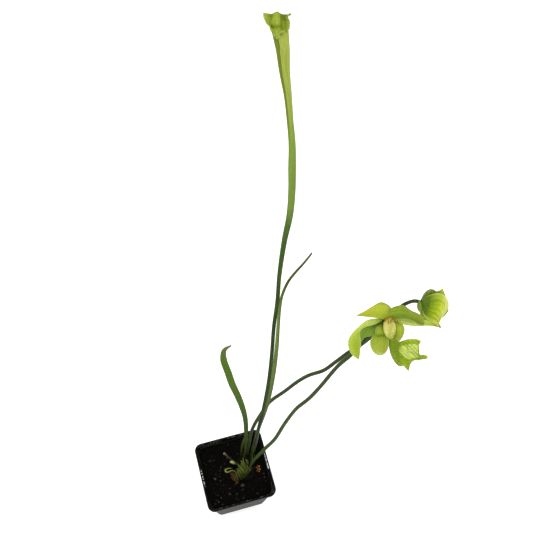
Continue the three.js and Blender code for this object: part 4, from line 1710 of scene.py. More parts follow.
    def dress(self) -> None:
        """Builds the crown's pieces and gives them their finishes."""
        adopt(self.rhizome(), "rhizome_crown", "rhizome", RHIZOME_BARK.dress())
        adopt(self.bases(), None, "leaf_green", CROWN_GREEN.dress())
        adopt(self.sheath(), "dry_sheath", "dry_leaf", DRY_BROWN.dress())
        for stem in self.stems():
            stem.dress()


# Leaves and pitcher

PITCHER_ROWS: tuple[Row, ...] = (
    (22, 7, 85, 2.2), (28, 12, 128, 2.2), (36, 21, 167, 2.2), (47, 36, 209, 2.2),
    (57, 54, 248, 2.2), (64, 71, 281, 2.2), (70, 88, 310, 2.2), (78, 105, 338, 2.3),
    (84, 122, 362, 2.4), (95, 145, 395, 3), (104, 160, 416, 3.6), (110, 176, 435, 3.9),
    (114, 192, 453, 4.2), (118, 209, 471, 3.7), (120, 226, 487, 3.4), (122, 243, 503, 4),
    (123, 261, 519, 5.5), (125, 276, 533, 7), (126, 286, 541, 8),
)
PHYLLODE_ROWS: tuple[Row, ...] = (
    (27, 11, 85, 1.6), (33, 17, 126, 1.9), (38, 25, 156, 2.1), (46.5, 34, 178, 2.6),
    (54, 44, 199, 3.4), (65.5, 63.5, 233, 2.9), (74, 83.5, 261, 2.7), (79.5, 99.5, 283, 2.3),
    (84, 111.5, 299, 2), (89, 121.5, 312, 2), (98, 130.5, 325, 2.1), (106.5, 135.5, 332, 2),
    (118, 140.5, 341, 1.8), (125.5, 144, 348, 1.6), (129, 146, 351, 1.2),
)
SICKLE_ROWS: tuple[Row, ...] = (
    (13.5, 8.5, 85, 2), (19, 17, 126, 2.6), (24, 37, 165, 3.4), (23, 48, 182, 4.2),
    (20, 59, 198, 4.7), (16, 70, 213, 4.8), (14, 82, 225, 4.7), (12, 94, 236, 4.4),
    (15, 103, 241, 3), (25, 109, 237, 0.9),
)
SHORT_LEAF_ROWS: tuple[Row, ...] = (
    (12, 15.5, 85, 1.5), (14.5, 21, 97, 1.9), (18, 27, 108, 1.7), (22, 32, 117, 0.6),
)
SCAPE_A_ROWS: tuple[Row, ...] = (
    (18.5, -3, 85, 2.4), (23, 1, 96, 2.4), (41, 6, 128, 2.4), (54, 8, 153, 2.4), (67, 15, 182, 2.4),
    (82, 20.5, 213, 2.4), (95.5, 21.5, 234, 2.4), (109, 25, 256, 2.4), (129, 32, 291, 2.4),
    (142, 34, 309, 2.4), (160, 40, 335, 2.4), (168, 43.5, 346, 2.4), (173, 47.5, 353.5, 2.4),
    (176, 51.2, 358.4, 2.4), (177, 50.6, 361.6, 2.4), (177.6, 48, 362.4, 2.4),
    (178.2, 44, 361.6, 2.4),
)
SCAPE_B_ROWS: tuple[Row, ...] = (
    (20.5, 14.5, 85, 2.4), (25, 21, 115, 2.4), (31, 32, 134, 2.4), (48, 44, 160, 2.4),
    (59, 49, 176, 2.4), (78, 51, 195, 2.4), (93, 53, 211, 2.4), (107, 53, 224, 2.4),
    (123, 50, 236, 2.4), (138, 52, 250, 2.4), (152, 54, 264, 2.4), (171, 56, 280, 2.4),
    (194, 64, 303, 2.4), (213, 70, 323, 2.4), (220, 69.5, 330, 2.2), (225.5, 67.5, 334.2, 2.2),
    (229.5, 65, 334.8, 2.2), (231.6, 63.8, 333.5, 2.2),
)


@dataclass(frozen=True)
class Leaves:
    """The narrow leaves and the two flower stalks."""

    def stems(self) -> list[Stem]:
        """Returns the leaves and stalks."""
        sickle = Spine(SICKLE_ROWS, ((-0.6, -0.6, 0.5), (-0.2, -0.5, 0.85)))
        return [
            Stem("phyllode", "long_phyllode", "leaf_green", PHYLLODE_GREEN, Spine(PHYLLODE_ROWS), 60,
                 flat=0.6, slim=0.5),
            Stem("sickle_blade", "sickle_leaf", "leaf_green", SICKLE_GREEN, sickle, 48,
                 flat=0.22, corners=14, slim=0.62),
            Stem("short_blade", "short_leaf", "leaf_green", CROWN_GREEN, Spine(SHORT_LEAF_ROWS), 12,
                 flat=0.4),
            Stem("scape_stalk_a", "scape_a", "scape_green", SCAPE_GREEN, Spine(SCAPE_A_ROWS), 80,
                 dent=0.35, slim=0.25),
            Stem("scape_stalk_b", "scape_b", "scape_green", SCAPE_GREEN, Spine(SCAPE_B_ROWS), 84,
                 dent=0.35, slim=0.5),
        ]

    def dress(self) -> None:
        """Builds the leaves and stalks and gives them their finishes."""
        for stem in self.stems():
            stem.dress()


@dataclass(frozen=True)
class TallPitcher:
    """The tall pitcher: a slender tube with a slanting rolled lip, and the lobed hood over it.

    Attributes:
        rim: The lip, drawn in twelve even steps from its front over its left side.
        hood: Rows of the hood from inside the mouth to its upper edge, each from left to right.
        wall: The thickness of the tube and the hood in millimetres.
        knob: The place of the small knob on the hood's corner.
    """

    sketch: Sketch = Sketch((126.0, 286.0, 541.0))
    steps: int = 88
    corners: int = 24
    flat: float = 0.9
    wall: float = 0.8
    rim: tuple[Triple, ...] = (
        (278.2, 38.6, 8.6), (275.4, 36.2, 8), (272.7, 32, 6.2), (270.6, 27.8, 3),
        (270.8, 25.8, -1.5), (273.5, 25.2, -4.5), (278.5, 25, -5.8), (283.8, 25.6, -4.5),
        (287.8, 26.4, -1.5), (288.6, 28.4, 3), (285.2, 29.8, 6.6), (281, 33.4, 8.4),
    )
    hood: SheetRows = (
        ((276.4, 38, 3.6), (276.8, 38, 3.4), (277.2, 38, 3.2), (277.6, 38, 3.4), (278, 38, 3.2),
         (278.4, 38, 3.2), (278.8, 38, 3.4), (279.4, 38, 3.6), (280, 38, 4)),
        ((272.6, 32, 3.6), (273.6, 32, 2.6), (274.6, 32, 1.8), (276, 32, 2.6), (277.4, 32, 1.4),
         (279.2, 32, 2.6), (281, 32, 2), (283, 32, 3.4), (285.4, 32, 4.4)),
        ((270.2, 27, 2), (271.4, 27.8, -1), (272.6, 28, -2.4), (275.4, 28.2, 1), (277, 28.4, -0.2),
         (279.3, 28.4, 0.8), (281.8, 28.6, 0), (285.5, 30.8, 8.4), (288.8, 29.6, 5.4)),
        ((266.6, 24.2, 3), (268.5, 24.5, 0), (270.4, 24.5, -2), (273.5, 24.5, 1.6), (277, 25, 3.2),
         (280, 25, 1.8), (281.8, 25, 0), (286, 27, 4.6), (290.2, 25.5, 3)),
        ((264, 19.3, 3.6), (267.5, 20.5, -0.5), (271.2, 20.5, -1.6), (274, 20.5, 3.6), (277, 20.5, 5),
         (279.7, 20.5, 3.6), (281.3, 20.5, 0), (285.5, 21.5, -0.5), (290.2, 21.4, 2)),
        ((263, 15.2, 4), (267, 16.5, 0.5), (272, 16.5, -0.4), (274.7, 16, 4), (277, 16, 5.6),
         (279.5, 16, 4), (281.2, 16.5, 1.2), (284.5, 17.6, 0.8), (288.4, 17.4, 2.2)),
        ((262.7, 12.6, 4.4), (267, 13, 3.2), (271.4, 13.8, 2.4), (274.3, 12.4, 4.4), (277, 11.2, 5.2),
         (279.8, 12.6, 4.4), (282.3, 14, 2.8), (285, 14.2, 2.6), (290.4, 14.2, 3.4)),
    )
    knob: Triple = (290.0, 14.4, 3.4)
    knob_radii: Triple = (1.4, 1.2, 1.2)

    def build(self) -> Growth:
        """Grows the tube, opens it into the drawn rim and rolls the lip."""
        rows = PITCHER_ROWS[:-1]
        spine = Spine(rows, ((-0.2, -0.7, 0.7), (-0.2, -0.65, 0.75)))
        stations = [slimmed(station, 0.5) for station in spine.stations(self.steps)]
        first = stations[0]
        tube = Growth.begin("pitcher", Outline.ROUND, self.corners, first, first.width * self.flat)
        for station in stations[1:]:
            tube.grow(station, station.width * self.flat)
        self._open(tube)
        tube.close_foot()
        tube.leave()
        tube.face_outward()
        tube.edit()
        bpy.ops.mesh.flip_normals()
        tube.leave()
        for _ in range(2):
            tube.object.data.materials.append(None)
        tube.modify("SOLIDIFY", thickness=self.wall * MM, offset=-0.8, material_offset=1)
        tube.modify("SUBSURF", levels=1, render_levels=1)
        tube.smooth()
        return tube

    def _open(self, tube: Growth) -> None:
        """Leads the last ring to the drawn rim and rolls the lip outward."""
        mesh = tube.cells()
        base = {at: vertex.co.copy() for at, vertex in self._corners(mesh).items()}
        loop = [self.sketch.at(point) for point in self.rim]
        loop = loop[-2:] + loop + loop[:2]
        goals = {
            corner: through(loop, (2 + corner * len(self.rim) / self.corners) / (len(loop) - 1))
            for corner in base
        }
        axis = tube.last.turn.col[2].copy()
        middle = sum(goals.values(), Vector()) / len(goals)
        for share in (0.3, 0.62, 0.86, 1.0):
            ring = {at: base[at].lerp(goals[at], share**1.3) for at in base}
            self._set_ring(tube, ring, 1.0 + 0.1 * share)
        for out, drop in ((0.6, 0.1), (0.8, -0.6), (0.3, -1.1)):
            ring = {}
            for at, goal in goals.items():
                away = goal - middle
                away = (away - axis * away.dot(axis)).normalized()
                ring[at] = goal + (away * out + axis * drop) * MM
            self._set_ring(tube, ring, 1.16)

    def _corners(self, mesh: bmesh.types.BMesh) -> dict[int, bmesh.types.BMVert]:
        """Returns the last ring's vertices, numbered from the front over the left side."""
        over, facing = (mesh.verts.layers.float[name] for name in ("across", "facing"))
        found = {}
        for vertex in mesh.verts:
            if vertex.select:
                turn = math.pi / 2 - math.atan2(vertex[facing], vertex[over])
                found[round(turn / (2 * math.pi) * self.corners) % self.corners] = vertex
        return found

    def _set_ring(self, tube: Growth, places: dict[int, Vector], share: float) -> None:
        """Extrudes the last ring, sets its corners on places and notes its share."""
        tube.extrude(ORIGIN)
        mesh = tube.cells()
        layer = mesh.verts.layers.float["share"]
        for at, vertex in self._corners(mesh).items():
            vertex.co = places[at]
            vertex[layer] = share
        bmesh.update_edit_mesh(tube.object.data)

    def _hood(self) -> Workpiece:
        """Drapes the hood and sets the small knob on its corner."""
        hood = Sheet(
            "pitcher_hood", None, "pitcher_green", HOOD_GREEN, self.sketch, self.hood,
            cells=(40, 24), thickness=self.wall, ruffle=0.5,
        ).build()
        knob = Workpiece.ball("hood_knob", 3)
        knob.edit()
        knob.resize(tuple(radius * MM for radius in self.knob_radii))
        knob.move(self.sketch.at(self.knob))
        knob.leave()
        hood.take_in([knob])
        hood.smooth()
        return hood

    def dress(self) -> None:
        """Builds the pitcher and gives it its finishes."""
        finishes = (PITCHER_GREEN.dress(), THROAT_GREEN.dress())
        adopt(self.build(), "tall_pitcher", "pitcher_green", *finishes)
        adopt(self._hood(), None, "pitcher_green", HOOD_GREEN.dress())


# Flowers

SEPAL_A_LEFT = (
    ((390.4, 314.5, 2.4), (387.6, 317.8, 3.8), (383.6, 319.8, 2)),
    ((391, 308, -2), (386, 312, 6.5), (381, 319, 4)),
    ((387.8, 304.4, 0), (381.6, 309.6, 9), (376.5, 318.2, 6)),
    ((380.8, 301.9, 4.5), (374.6, 310, 10.8), (371.5, 317.5, 8)),
    ((373.5, 305.6, 8.5), (368, 311.6, 12.4), (366, 316.9, 10)),
    ((364.5, 311.2, 12), (361.5, 313.9, 13.2), (360.8, 316.2, 12)),
    ((356.2, 315.5, 13.3), (356.1, 315.7, 13.4), (356.2, 315.9, 13.3)),
)
SEPAL_A_RIGHT = (
    ((386.4, 312, 1.5), (386.2, 316, 2.8), (386.6, 319.2, 2)),
    ((391.3, 308, 2), (392, 313.2, 5.4), (392.5, 318.3, 3)),
    ((396.5, 305.9, 3), (398, 312, 8), (399, 318.5, 4.6)),
    ((403.8, 305.1, 1.5), (404.5, 311.8, 7.6), (406, 318.6, 4.4)),
    ((410.8, 310.2, -1), (411, 315, 4.6), (412.2, 320.4, 1.8)),
    ((417, 312.8, -5), (417, 317.8, -1), (417, 323.6, -3.5)),
    ((422.6, 316, -10), (422.5, 320.8, -7.2), (421.6, 325.3, -8.8)),
    ((424.3, 318.5, -11.6), (424.6, 321.6, -11), (424, 324.9, -11.4)),
)
SEPAL_A_UNDER_RIGHT = (
    ((388.5, 316, -2), (389.5, 317.5, -2), (390.5, 319, -2.5)),
    ((395, 316.5, -6), (396, 320, -4.6), (396.5, 323.5, -6.6)),
    ((402.5, 317, -9), (403.5, 321, -7.4), (403.6, 324.7, -9.4)),
    ((410, 318.5, -12.5), (410.5, 322.6, -11), (410.5, 326, -13)),
    ((418, 319.5, -17.5), (418, 323.2, -16), (418.4, 326.3, -18)),
    ((426, 319.8, -22), (426.5, 323.2, -21), (426.5, 325.8, -22)),
    ((432, 323.4, -25), (432.5, 325, -24.6), (432.5, 326.2, -25)),
    ((436.4, 326.3, -26.5), (436.5, 326.6, -26.5), (436.4, 326.9, -26.5)),
)
SEPAL_A_OUTER_LEFT = (
    ((383, 318.5, -0.5), (382.5, 319.5, -0.5), (382.5, 320.4, -1)),
    ((377, 318.5, 1), (376.5, 321, 3), (377, 323.6, 1)),
    ((370.5, 319, 2.5), (370, 322.3, 5), (371.5, 325.4, 2.5)),
    ((364.8, 321.2, 3.5), (365, 325, 7), (366.5, 326.6, 4)),
    ((358.3, 326.9, 4), (360, 329.2, 8), (362.4, 328.6, 5)),
    ((352.8, 332.3, 3), (356.2, 333.5, 8.5), (360.2, 331.8, 5)),
    ((348.6, 338.5, 0), (353.8, 339, 7.5), (360.2, 337.2, 4)),
    ((347.9, 345, -3), (353.3, 345, 4.5), (361.2, 342.5, 1)),
    ((350, 352, -6), (354.8, 351.2, 1), (360.6, 349, -2)),
    ((354, 356.6, -6.5), (356.8, 355.6, -3), (359.9, 354.5, -5)),
    ((358.6, 359.5, -6), (358.7, 359.6, -5.9), (358.8, 359.5, -6)),
)
SEPAL_A_INNER_LEFT = (
    ((384.4, 317.4, -3), (386.4, 320.6, -3), (388.6, 327, -3.5)),
    ((378.4, 321, -4), (381.6, 325.6, -2.5), (386.6, 332, -4)),
    ((372.5, 325, -5), (374.5, 329.5, -3.5), (377.5, 334.5, -5)),
    ((366, 326.4, -6.5), (368.5, 331.5, -5), (372, 336.4, -6.5)),
    ((361, 329, -8), (364, 333.2, -7), (367, 336.9, -8.5)),
    ((359.4, 333.8, -10), (361.5, 336, -9), (364, 338.4, -10)),
    ((361.5, 341.9, -11.5), (361.6, 342, -11.4), (361.8, 341.8, -11.5)),
)
PETAL_A_LEFT = (
    ((384.4, 321, -1.6), (384.9, 321.2, -1.5), (385.4, 321.6, -1.6)),
    ((380.6, 324.6, -1.4), (382.2, 324.6, -0.6), (384.4, 324.8, -1.4)),
    ((377, 326.8, 0.5), (380.4, 326.6, 3.4), (384, 327.6, 0.5)),
    ((375.3, 329.6, 1), (380, 329.4, 5.8), (384.8, 330.4, 1)),
    ((375.2, 333.8, 1), (380, 334, 5.8), (386, 334, 1)),
    ((372, 336.8, -0.5), (380, 337.2, 2.4), (388.5, 336.5, 0)),
    ((370, 340.6, 0), (379.5, 341, 4.5), (389.2, 340.6, 1)),
    ((370.1, 345.2, 0), (379.3, 346, 5.2), (388.9, 345.5, 1)),
    ((371.6, 349.8, -1), (379.4, 351, 3.2), (387.5, 350.4, -0.5)),
    ((374.6, 353.4, -2), (380, 354.3, 0), (385.3, 353.2, -1.5)),
    ((378, 355.2, -2.6), (380.3, 355.6, -2.4), (382.6, 355.1, -2.6)),
)
PETAL_A_RIGHT = (
    ((391, 321, -3), (392, 320.8, -2.5), (393, 320.6, -3)),
    ((391.5, 325, -4), (396, 324.6, -2.5), (401.5, 323.4, -4.5)),
    ((391.5, 330, -4.5), (398, 329.5, -2), (404.6, 328, -5)),
    ((391.8, 335, -5), (398.3, 334.5, -3), (404.2, 333.4, -6)),
    ((393.2, 339.2, -6), (397.8, 338.8, -4.5), (401.8, 338.2, -7)),
    ((395.8, 341.4, -7), (397.8, 341.9, -6.8), (399.6, 341.2, -7.5)),
)
SEPAL_B_FRONT = (
    ((421.4, 300.6, 2), (421.8, 302.2, 3), (422, 304, 2)),
    ((424.6, 297.4, 2.5), (425.6, 303.4, 9.5), (422.6, 311, 4)),
    ((429.6, 294.7, 1.5), (431.2, 302.6, 13), (424, 317, 4.5)),
    ((436.6, 292.9, 0), (437.8, 302.2, 14.5), (428, 320.4, 4.5)),
    ((442.8, 294, -1.5), (442.4, 304, 14), (431.6, 322.8, 4)),
    ((447.2, 298, -2), (444, 308, 11.5), (434.4, 324.4, 2.5)),
    ((448.8, 303.4, -2.5), (443.4, 313, 8), (436.4, 325.3, 0.5)),
    ((447.9, 309.8, -3), (441.6, 317.8, 4), (437.6, 326, -1.5)),
    ((441.4, 317.6, -3.5), (439.4, 321.8, 0), (438, 326.4, -3)),
    ((438.8, 323.2, -4.5), (438.9, 325.2, -3.4), (438.6, 327, -4.5)),
    ((441.6, 327.4, -5.5), (441.5, 327.6, -5.4), (441.2, 327.8, -5.5)),
)
SEPAL_B_TOP = (
    ((420.4, 300.8, 0), (421.2, 301, 0.6), (422.2, 301.2, 0)),
    ((421.6, 298, -1), (423.6, 298.4, 3), (425.6, 298.6, 0)),
    ((423.4, 294.3, -3), (426.4, 295, 3), (429.4, 296.2, -1)),
    ((426.4, 290.8, -5), (429.6, 292.4, 2), (432.2, 294.8, -2)),
    ((430.4, 289, -7), (432.8, 291, -1), (434.6, 293.8, -4)),
    ((434, 289.8, -8.5), (435.2, 291.4, -5), (436.4, 293.4, -7)),
    ((435.9, 291.2, -9), (436.2, 292, -8.6), (436.6, 292.8, -9)),
)
SEPAL_B_BACK = (
    ((421, 300, -2.5), (421.6, 301.6, -2), (421.4, 303.4, -2.5)),
    ((427, 294.6, -8), (428.4, 300, -10.5), (427.4, 306, -8)),
    ((433.6, 291.8, -11), (435.4, 299.6, -14), (435, 308, -12)),
    ((438.6, 290.6, -11), (441.2, 298, -13), (441.8, 307, -12)),
    ((441, 289.2, -8.5), (444.2, 294.6, -9), (446.6, 302, -9)),
    ((442.2, 288.1, -6.5), (442.8, 289.2, -6.5), (445.4, 295.6, -6)),
)
SEPAL_B_LOW = (
    ((421.6, 305, -1), (420.8, 306.4, 0), (420.2, 308, -1)),
    ((424.6, 309.4, -1), (422.6, 311.6, 2), (420.2, 313.6, 0)),
    ((427.8, 314.6, -2), (424.4, 316.4, 3), (421.4, 318.2, 0)),
    ((430.8, 319.2, -4), (427.6, 320.4, 1.8), (424.8, 321.4, -1)),
    ((434, 322.8, -5.5), (431.6, 323.6, -1), (430.2, 324.2, -2.5)),
    ((438, 325.4, -7), (437.2, 326, -5), (436.4, 326.4, -5.5)),
    ((440.8, 327.7, -8), (440.6, 327.9, -8), (440.4, 328.1, -8)),
)
SEPAL_B_UNDER = (
    ((420.6, 302.6, -3.5), (420, 304.2, -4), (420.4, 306, -3.5)),
    ((430, 304, -13), (428, 309, -15), (425.6, 313, -10)),
    ((440, 304, -17), (437, 311, -20), (432, 318, -13)),
    ((447, 306, -14), (444.4, 312, -16), (438, 320.4, -12)),
    ((448.6, 309.4, -9), (447, 313, -10.5), (440.4, 319.6, -9)),
)
UMBRELLA_EDGE = (
    (421.2, 341.6, 2), (417.7, 339.2, 3), (411.6, 338.9, 4), (406, 339.5, 3),
    (401, 341.2, 2), (397.6, 341.6, 1), (393.4, 337.6, 1.5), (389.6, 337, -1),
    (388.7, 343, -3), (389, 349, -4.5), (391, 356, -6), (395, 363, -7),
    (399.7, 366.9, -7), (403.4, 365.8, -5), (405.6, 368.4, -6.5), (408.6, 371.2, -8),
    (409.4, 366.8, -5.5), (410.6, 363.8, -3.5), (414, 360.4, -2.5), (419, 359.9, -2.5),
    (424, 359.2, -3.5), (427.4, 358.4, -4), (427.5, 355.8, -4), (424, 355.1, -3),
    (420.3, 354.9, -2), (419.2, 352, -1), (419.2, 348, 0), (418.6, 344.2, 1),
)
UMBRELLA_PANEL = (
    (417.4, 344.6, 3), (414.6, 344, 4.2), (410.8, 343.8, 4.8), (407.4, 344, 4.8),
    (404.2, 344.6, 4.8), (402.4, 345.4, 4.6), (400.8, 346.6, 4.6), (399.4, 348.2, 4.4),
    (399, 349.8, 4), (399.4, 351.4, 3.6), (400.4, 353.2, 3), (402, 355, 2.6),
    (403.8, 356.4, 2.2), (405.6, 357.6, 2), (407.4, 358.6, 1.6), (408.8, 359.2, 1.4),
    (410, 359.2, 1.4), (411.2, 359, 1.4), (413, 358.6, 1.2), (415.4, 358.2, 0.8),
    (418.2, 357.9, 0.6), (419.6, 357.6, 0.4), (420.2, 356.8, 0.4), (419.8, 356.2, 0.6),
    (418.9, 355.2, 1), (418.4, 352, 1.6), (418.2, 348.6, 2.2), (417.8, 346, 2.6),
)


@dataclass(frozen=True)
class Umbrella(Piece):
    """The broad folded end of a style, drawn as a panel inside an edge.

    Attributes:
        hub: Its middle.
        panel: The fold round the panel, one point for each point of the edge.
        edge: Its outer edge, with the pointed arms.
        ribs: How closely the ribs of the panel follow each other, in radians a pixel.
        rib: The height of a rib in millimetres.
        thickness: Its thickness and the height of its unevenness in millimetres.
        rings: The rings that it grows through, as shares of the way to the edge.
    """

    sketch: Sketch
    hub: Triple
    panel: tuple[Triple, ...]
    edge: tuple[Triple, ...]
    ribs: float = 1.35
    rib: float = 1.0
    thickness: float = 0.9
    rings: tuple[float, ...] = (0.06, 0.18, 0.3, 0.42, 0.49, 0.53, 0.6, 0.74, 0.88, 1.0)

    def build(self) -> Workpiece:
        """Grows the panel ring by ring from its middle, and then the fold and the edge."""
        count = 3 * len(self.edge)
        dome = Workpiece.circle(self.name, count)
        dome.edit()
        mesh = dome.cells()
        layers = mesh.verts.layers.float
        for label in ("across", "share", "side"):
            layers.new(label)
        bmesh.update_edit_mesh(dome.object.data)
        for i, share in enumerate(self.rings):
            if i > 0:
                dome.extrude(ORIGIN)
            layers = dome.cells().verts.layers.float
            for n, vertex in enumerate(dome.picked()):
                drawn = self._drawn(n / count, share)
                vertex.co = self.sketch.at(tuple(drawn))
                vertex[layers["across"]] = (drawn.x - drawn.y) * 0.1
                vertex[layers["side"]] = (drawn.x - self.hub[0]) * 0.055
                vertex[layers["share"]] = share
        bmesh.update_edit_mesh(dome.object.data)
        along = dome.cells().verts.layers.float["share"]
        inmost = (self.rings[0] + self.rings[1]) / 2
        dome.pick(lambda vertex: vertex[along] < inmost)
        bpy.ops.mesh.merge(type="CENTER")
        dome.leave()
        dome.face_outward()
        dome.roughen(self.thickness * MM, 0.004)
        dome.modify("SOLIDIFY", thickness=self.thickness * MM, offset=0.0)
        dome.modify("SUBSURF", levels=1, render_levels=1)
        dome.smooth()
        return dome

    def _drawn(self, turn: float, share: float) -> Vector:
        """Returns the drawn point at a share of the way out, ribbed inside and swollen outside."""
        panel = self._loop(self.panel, turn)
        if share <= 0.5:
            drawn = Vector(self.hub).lerp(panel, share * 2)
            depth = self.rib * min(share * 5, 1 - share)
            drawn.z += depth * math.sin((drawn.x - drawn.y) * self.ribs)
            return drawn
        out = (share - 0.5) * 2
        drawn = panel.lerp(self._loop(self.edge, turn), out)
        drawn.z += 1.4 * math.sin(math.pi * out)
        return drawn

    def _loop(self, drawn: tuple[Triple, ...], turn: float) -> Vector:
        """Returns a point of a closed drawn line."""
        points = [Vector(point) for point in drawn]
        loop = points[-2:] + points + points[:3]
        return through(loop, (2 + turn * len(points)) / (len(loop) - 1))


@dataclass(frozen=True)
class Stamens(Piece):
    """A ring of short stamens with blunt anthers round the foot of the ovary.

    Attributes:
        centre: The ring's middle, measured from the receptacle.
        axis: The way that the ovary points.
        ring: The radius of the ring at its foot.
        drawn: The stamens that are drawn one by one in front of it.
    """

    origin: Triple
    centre: Triple
    axis: Triple
    ring: float
    length: float
    count: int
    drawn: tuple[Spine, ...] = ()

    def build(self) -> Workpiece:
        """Turns copies of one stamen round the ovary and adds the drawn ones."""
        up = Vector(self.axis).normalized()
        turn = Vector(UP).rotation_difference(up).to_matrix().to_4x4()
        place = Matrix.Translation((Vector(self.origin) + Vector(self.centre)) * MM)
        model = self._stamen(self.name, self._rows(), 8)
        copies = []
        for i in range(self.count):
            spin = Matrix.Rotation(2 * math.pi * i / self.count, 4, "Z")
            copies.append(model.copy(f"{self.name}_{i}", place @ turn @ spin))
        model.remove()
        drawn = [self._stamen(f"stamen_{i}", spine, 7) for i, spine in enumerate(self.drawn)]
        copies[0].take_in(copies[1:] + drawn)
        copies[0].rename(self.name)
        return copies[0]

    def _rows(self) -> Spine:
        """Returns the line of one stamen, which leans outward and swells to its anther."""
        return Spine((
            (self.ring, 0.0, -0.4, 0.35),
            (self.ring * 1.04, 0.0, self.length * 0.4, 0.4),
            (self.ring * 1.1, 0.0, self.length * 0.62, 0.85),
            (self.ring * 1.16, 0.0, self.length, 0.8),
        ))

    def _stamen(self, name: str, spine: Spine, steps: int) -> Growth:
        """Grows one stamen."""
        looks = (self.node, self.slot, self.finish)
        return Stem(name, *looks, spine, steps, corners=8, blunt=True).build()


def bract(node: str, spine: Spine) -> Blade:
    """Returns a bract below a flower."""
    name = node.replace("bract", "bract_scale")
    return Blade(name, node, "sepal_green", BRACT_GREEN, spine, steps=9, corners=7)


def ovary(flower: str, spine: Spine) -> Stem:
    """Returns the ovary and the style of a flower."""
    looks = (f"pistil_{flower}", "pistil_green", OVARY_CREAM)
    return Stem(f"pistil_ovary_{flower}", *looks, spine, 36, corners=20, dent=0.5)


@dataclass(frozen=True)
class Flower:
    """A flower on its receptacle.

    Attributes:
        origin: The receptacle, in millimetres.
        sheets: The node, the drawn rows and the finish of each sepal and petal.
    """

    origin: Triple
    sheets: tuple[tuple[str, SheetRows, PlantFinish], ...]

    def sketch(self) -> Sketch:
        """Returns the plane that the flower is drawn on."""
        return Sketch(self.origin)

    def grown(self) -> list[Piece]:
        """Returns the bracts, the pistil and the stamens."""
        raise NotImplementedError

    def dress(self) -> None:
        """Builds the flower's pieces and gives them their finishes."""
        for name, rows, finish in self.sheets:
            slot = "petal_green" if name.startswith("petal") else "sepal_green"
            Sheet(name + "_blade", name, slot, finish, self.sketch(), rows).dress()
        for piece in self.grown():
            piece.dress()


@dataclass(frozen=True)
class OpenFlower(Flower):
    """The flower that faces the front, with spread sepals and two petals.

    Its sepals, petals, pistil, umbrella and front stamens are drawn; the rows of its bracts are
    measured from its receptacle, the origin.
    """

    origin: Triple = (178.0, 45.0, 362.0)
    sheets: tuple[tuple[str, SheetRows, PlantFinish], ...] = (
        ("sepal_a_left", SEPAL_A_LEFT, YELLOW_SEPAL),
        ("sepal_a_right", SEPAL_A_RIGHT, OLIVE_SEPAL),
        ("sepal_a_under_right", SEPAL_A_UNDER_RIGHT, PALE_UNDER),
        ("sepal_a_outer_left", SEPAL_A_OUTER_LEFT, PALE_SEPAL),
        ("sepal_a_inner_left", SEPAL_A_INNER_LEFT, SEPAL_IN_SHADE),
        ("petal_a_left", PETAL_A_LEFT, PETAL),
        ("petal_a_right", PETAL_A_RIGHT, PETAL_LEAN),
    )
    bracts: tuple[tuple[str, tuple[Row, ...], Triple], ...] = (
        ("bract_a_left", ((-3.6, 2.8, 0, 1), (-7, 5.5, -1.5, 2.3), (-9.5, 8, -4, 2),
                          (-10.5, 9.5, -7.5, 0.5)), (-0.6, 0.6, 0.5)),
        ("bract_a_right", ((2.7, 3.2, 2, 1), (6.5, 5.5, 1.5, 2.3), (9.5, 8, -0.5, 2),
                           (11, 9.5, -3.5, 0.5)), (0.5, 0.7, 0.5)),
        ("bract_a_low", ((2.5, 4, -1.4, 1), (4.8, 6.5, -4.6, 2.3), (6.5, 8.5, -8.2, 2),
                         (7, 9, -11.5, 0.5)), (0.5, 0.7, -0.5)),
    )
    pistil: tuple[Row, ...] = (
        (389.2, 318.8, 0, 2.6), (389.3, 321, 2, 5.2), (389.5, 325.5, 3, 6.6),
        (389.7, 330.2, 3.5, 6.7), (390.3, 334.4, 3, 5.2), (391.6, 337.6, 1.6, 3),
        (394.4, 341.4, -0.5, 1.7), (399.5, 346.5, -1, 1.4), (405, 350.5, 1.5, 1.2),
    )
    hub: Triple = (408.6, 351.4, 5.0)
    front_stamens: tuple[tuple[Row, ...], ...] = (
        ((389, 318.4, 3, 0.5), (388.6, 320.2, 6.2, 0.5), (388.4, 322.4, 8.4, 0.9), (388.6, 323.6, 9, 0.8)),
        ((390.6, 318, 3, 0.5), (391, 319.6, 6.4, 0.5), (391, 321.2, 8, 0.9), (391, 322.4, 8.6, 0.8)),
        ((392, 318.2, 3, 0.5), (393.6, 319.4, 5.6, 0.5), (394.6, 320.8, 7, 0.9), (394.8, 322, 7.4, 0.8)),
        ((392.4, 318, 2, 0.5), (395, 318.8, 4, 0.5), (396.8, 319.8, 5, 0.9), (397.6, 320.8, 5, 0.8)),
        ((387.6, 318.6, 3, 0.5), (386.4, 319.6, 5, 0.5), (385.8, 321, 6, 0.9), (385.6, 322.2, 6.2, 0.8)),
        ((388.6, 317.6, 4, 0.5), (387.6, 317.6, 6, 0.8), (387, 318.4, 7, 0.9), (386.8, 319, 7, 0.8)),
    )

    def stamens(self) -> Stamens:
        """Returns the ring of stamens with those that are drawn in front."""
        drawn = tuple(Spine(self.sketch().rows(points)) for points in self.front_stamens)
        looks = ("stamens_a", "stamen_brown", STAMEN_BROWN)
        ring = ((0.8, -2.8, -0.6), (0.19, -0.91, -0.33), 4.4, 2.6, 11)
        return Stamens("stamen_ring_a", *looks, self.origin, *ring, drawn)

    def grown(self) -> list[Piece]:
        """Returns the bracts, the pistil with its umbrella, and the stamens."""
        found = [bract(name, Spine(rows, (face,), self.origin)) for name, rows, face in self.bracts]
        looks = (None, "pistil_green", UMBRELLA_GREEN)
        drawn = (self.sketch(), self.hub, UMBRELLA_PANEL, UMBRELLA_EDGE)
        umbrella = Umbrella("pistil_umbrella_a", *looks, *drawn)
        pistil = ovary("a", Spine(self.sketch().rows(self.pistil)))
        return [*found, pistil, umbrella, self.stamens()]


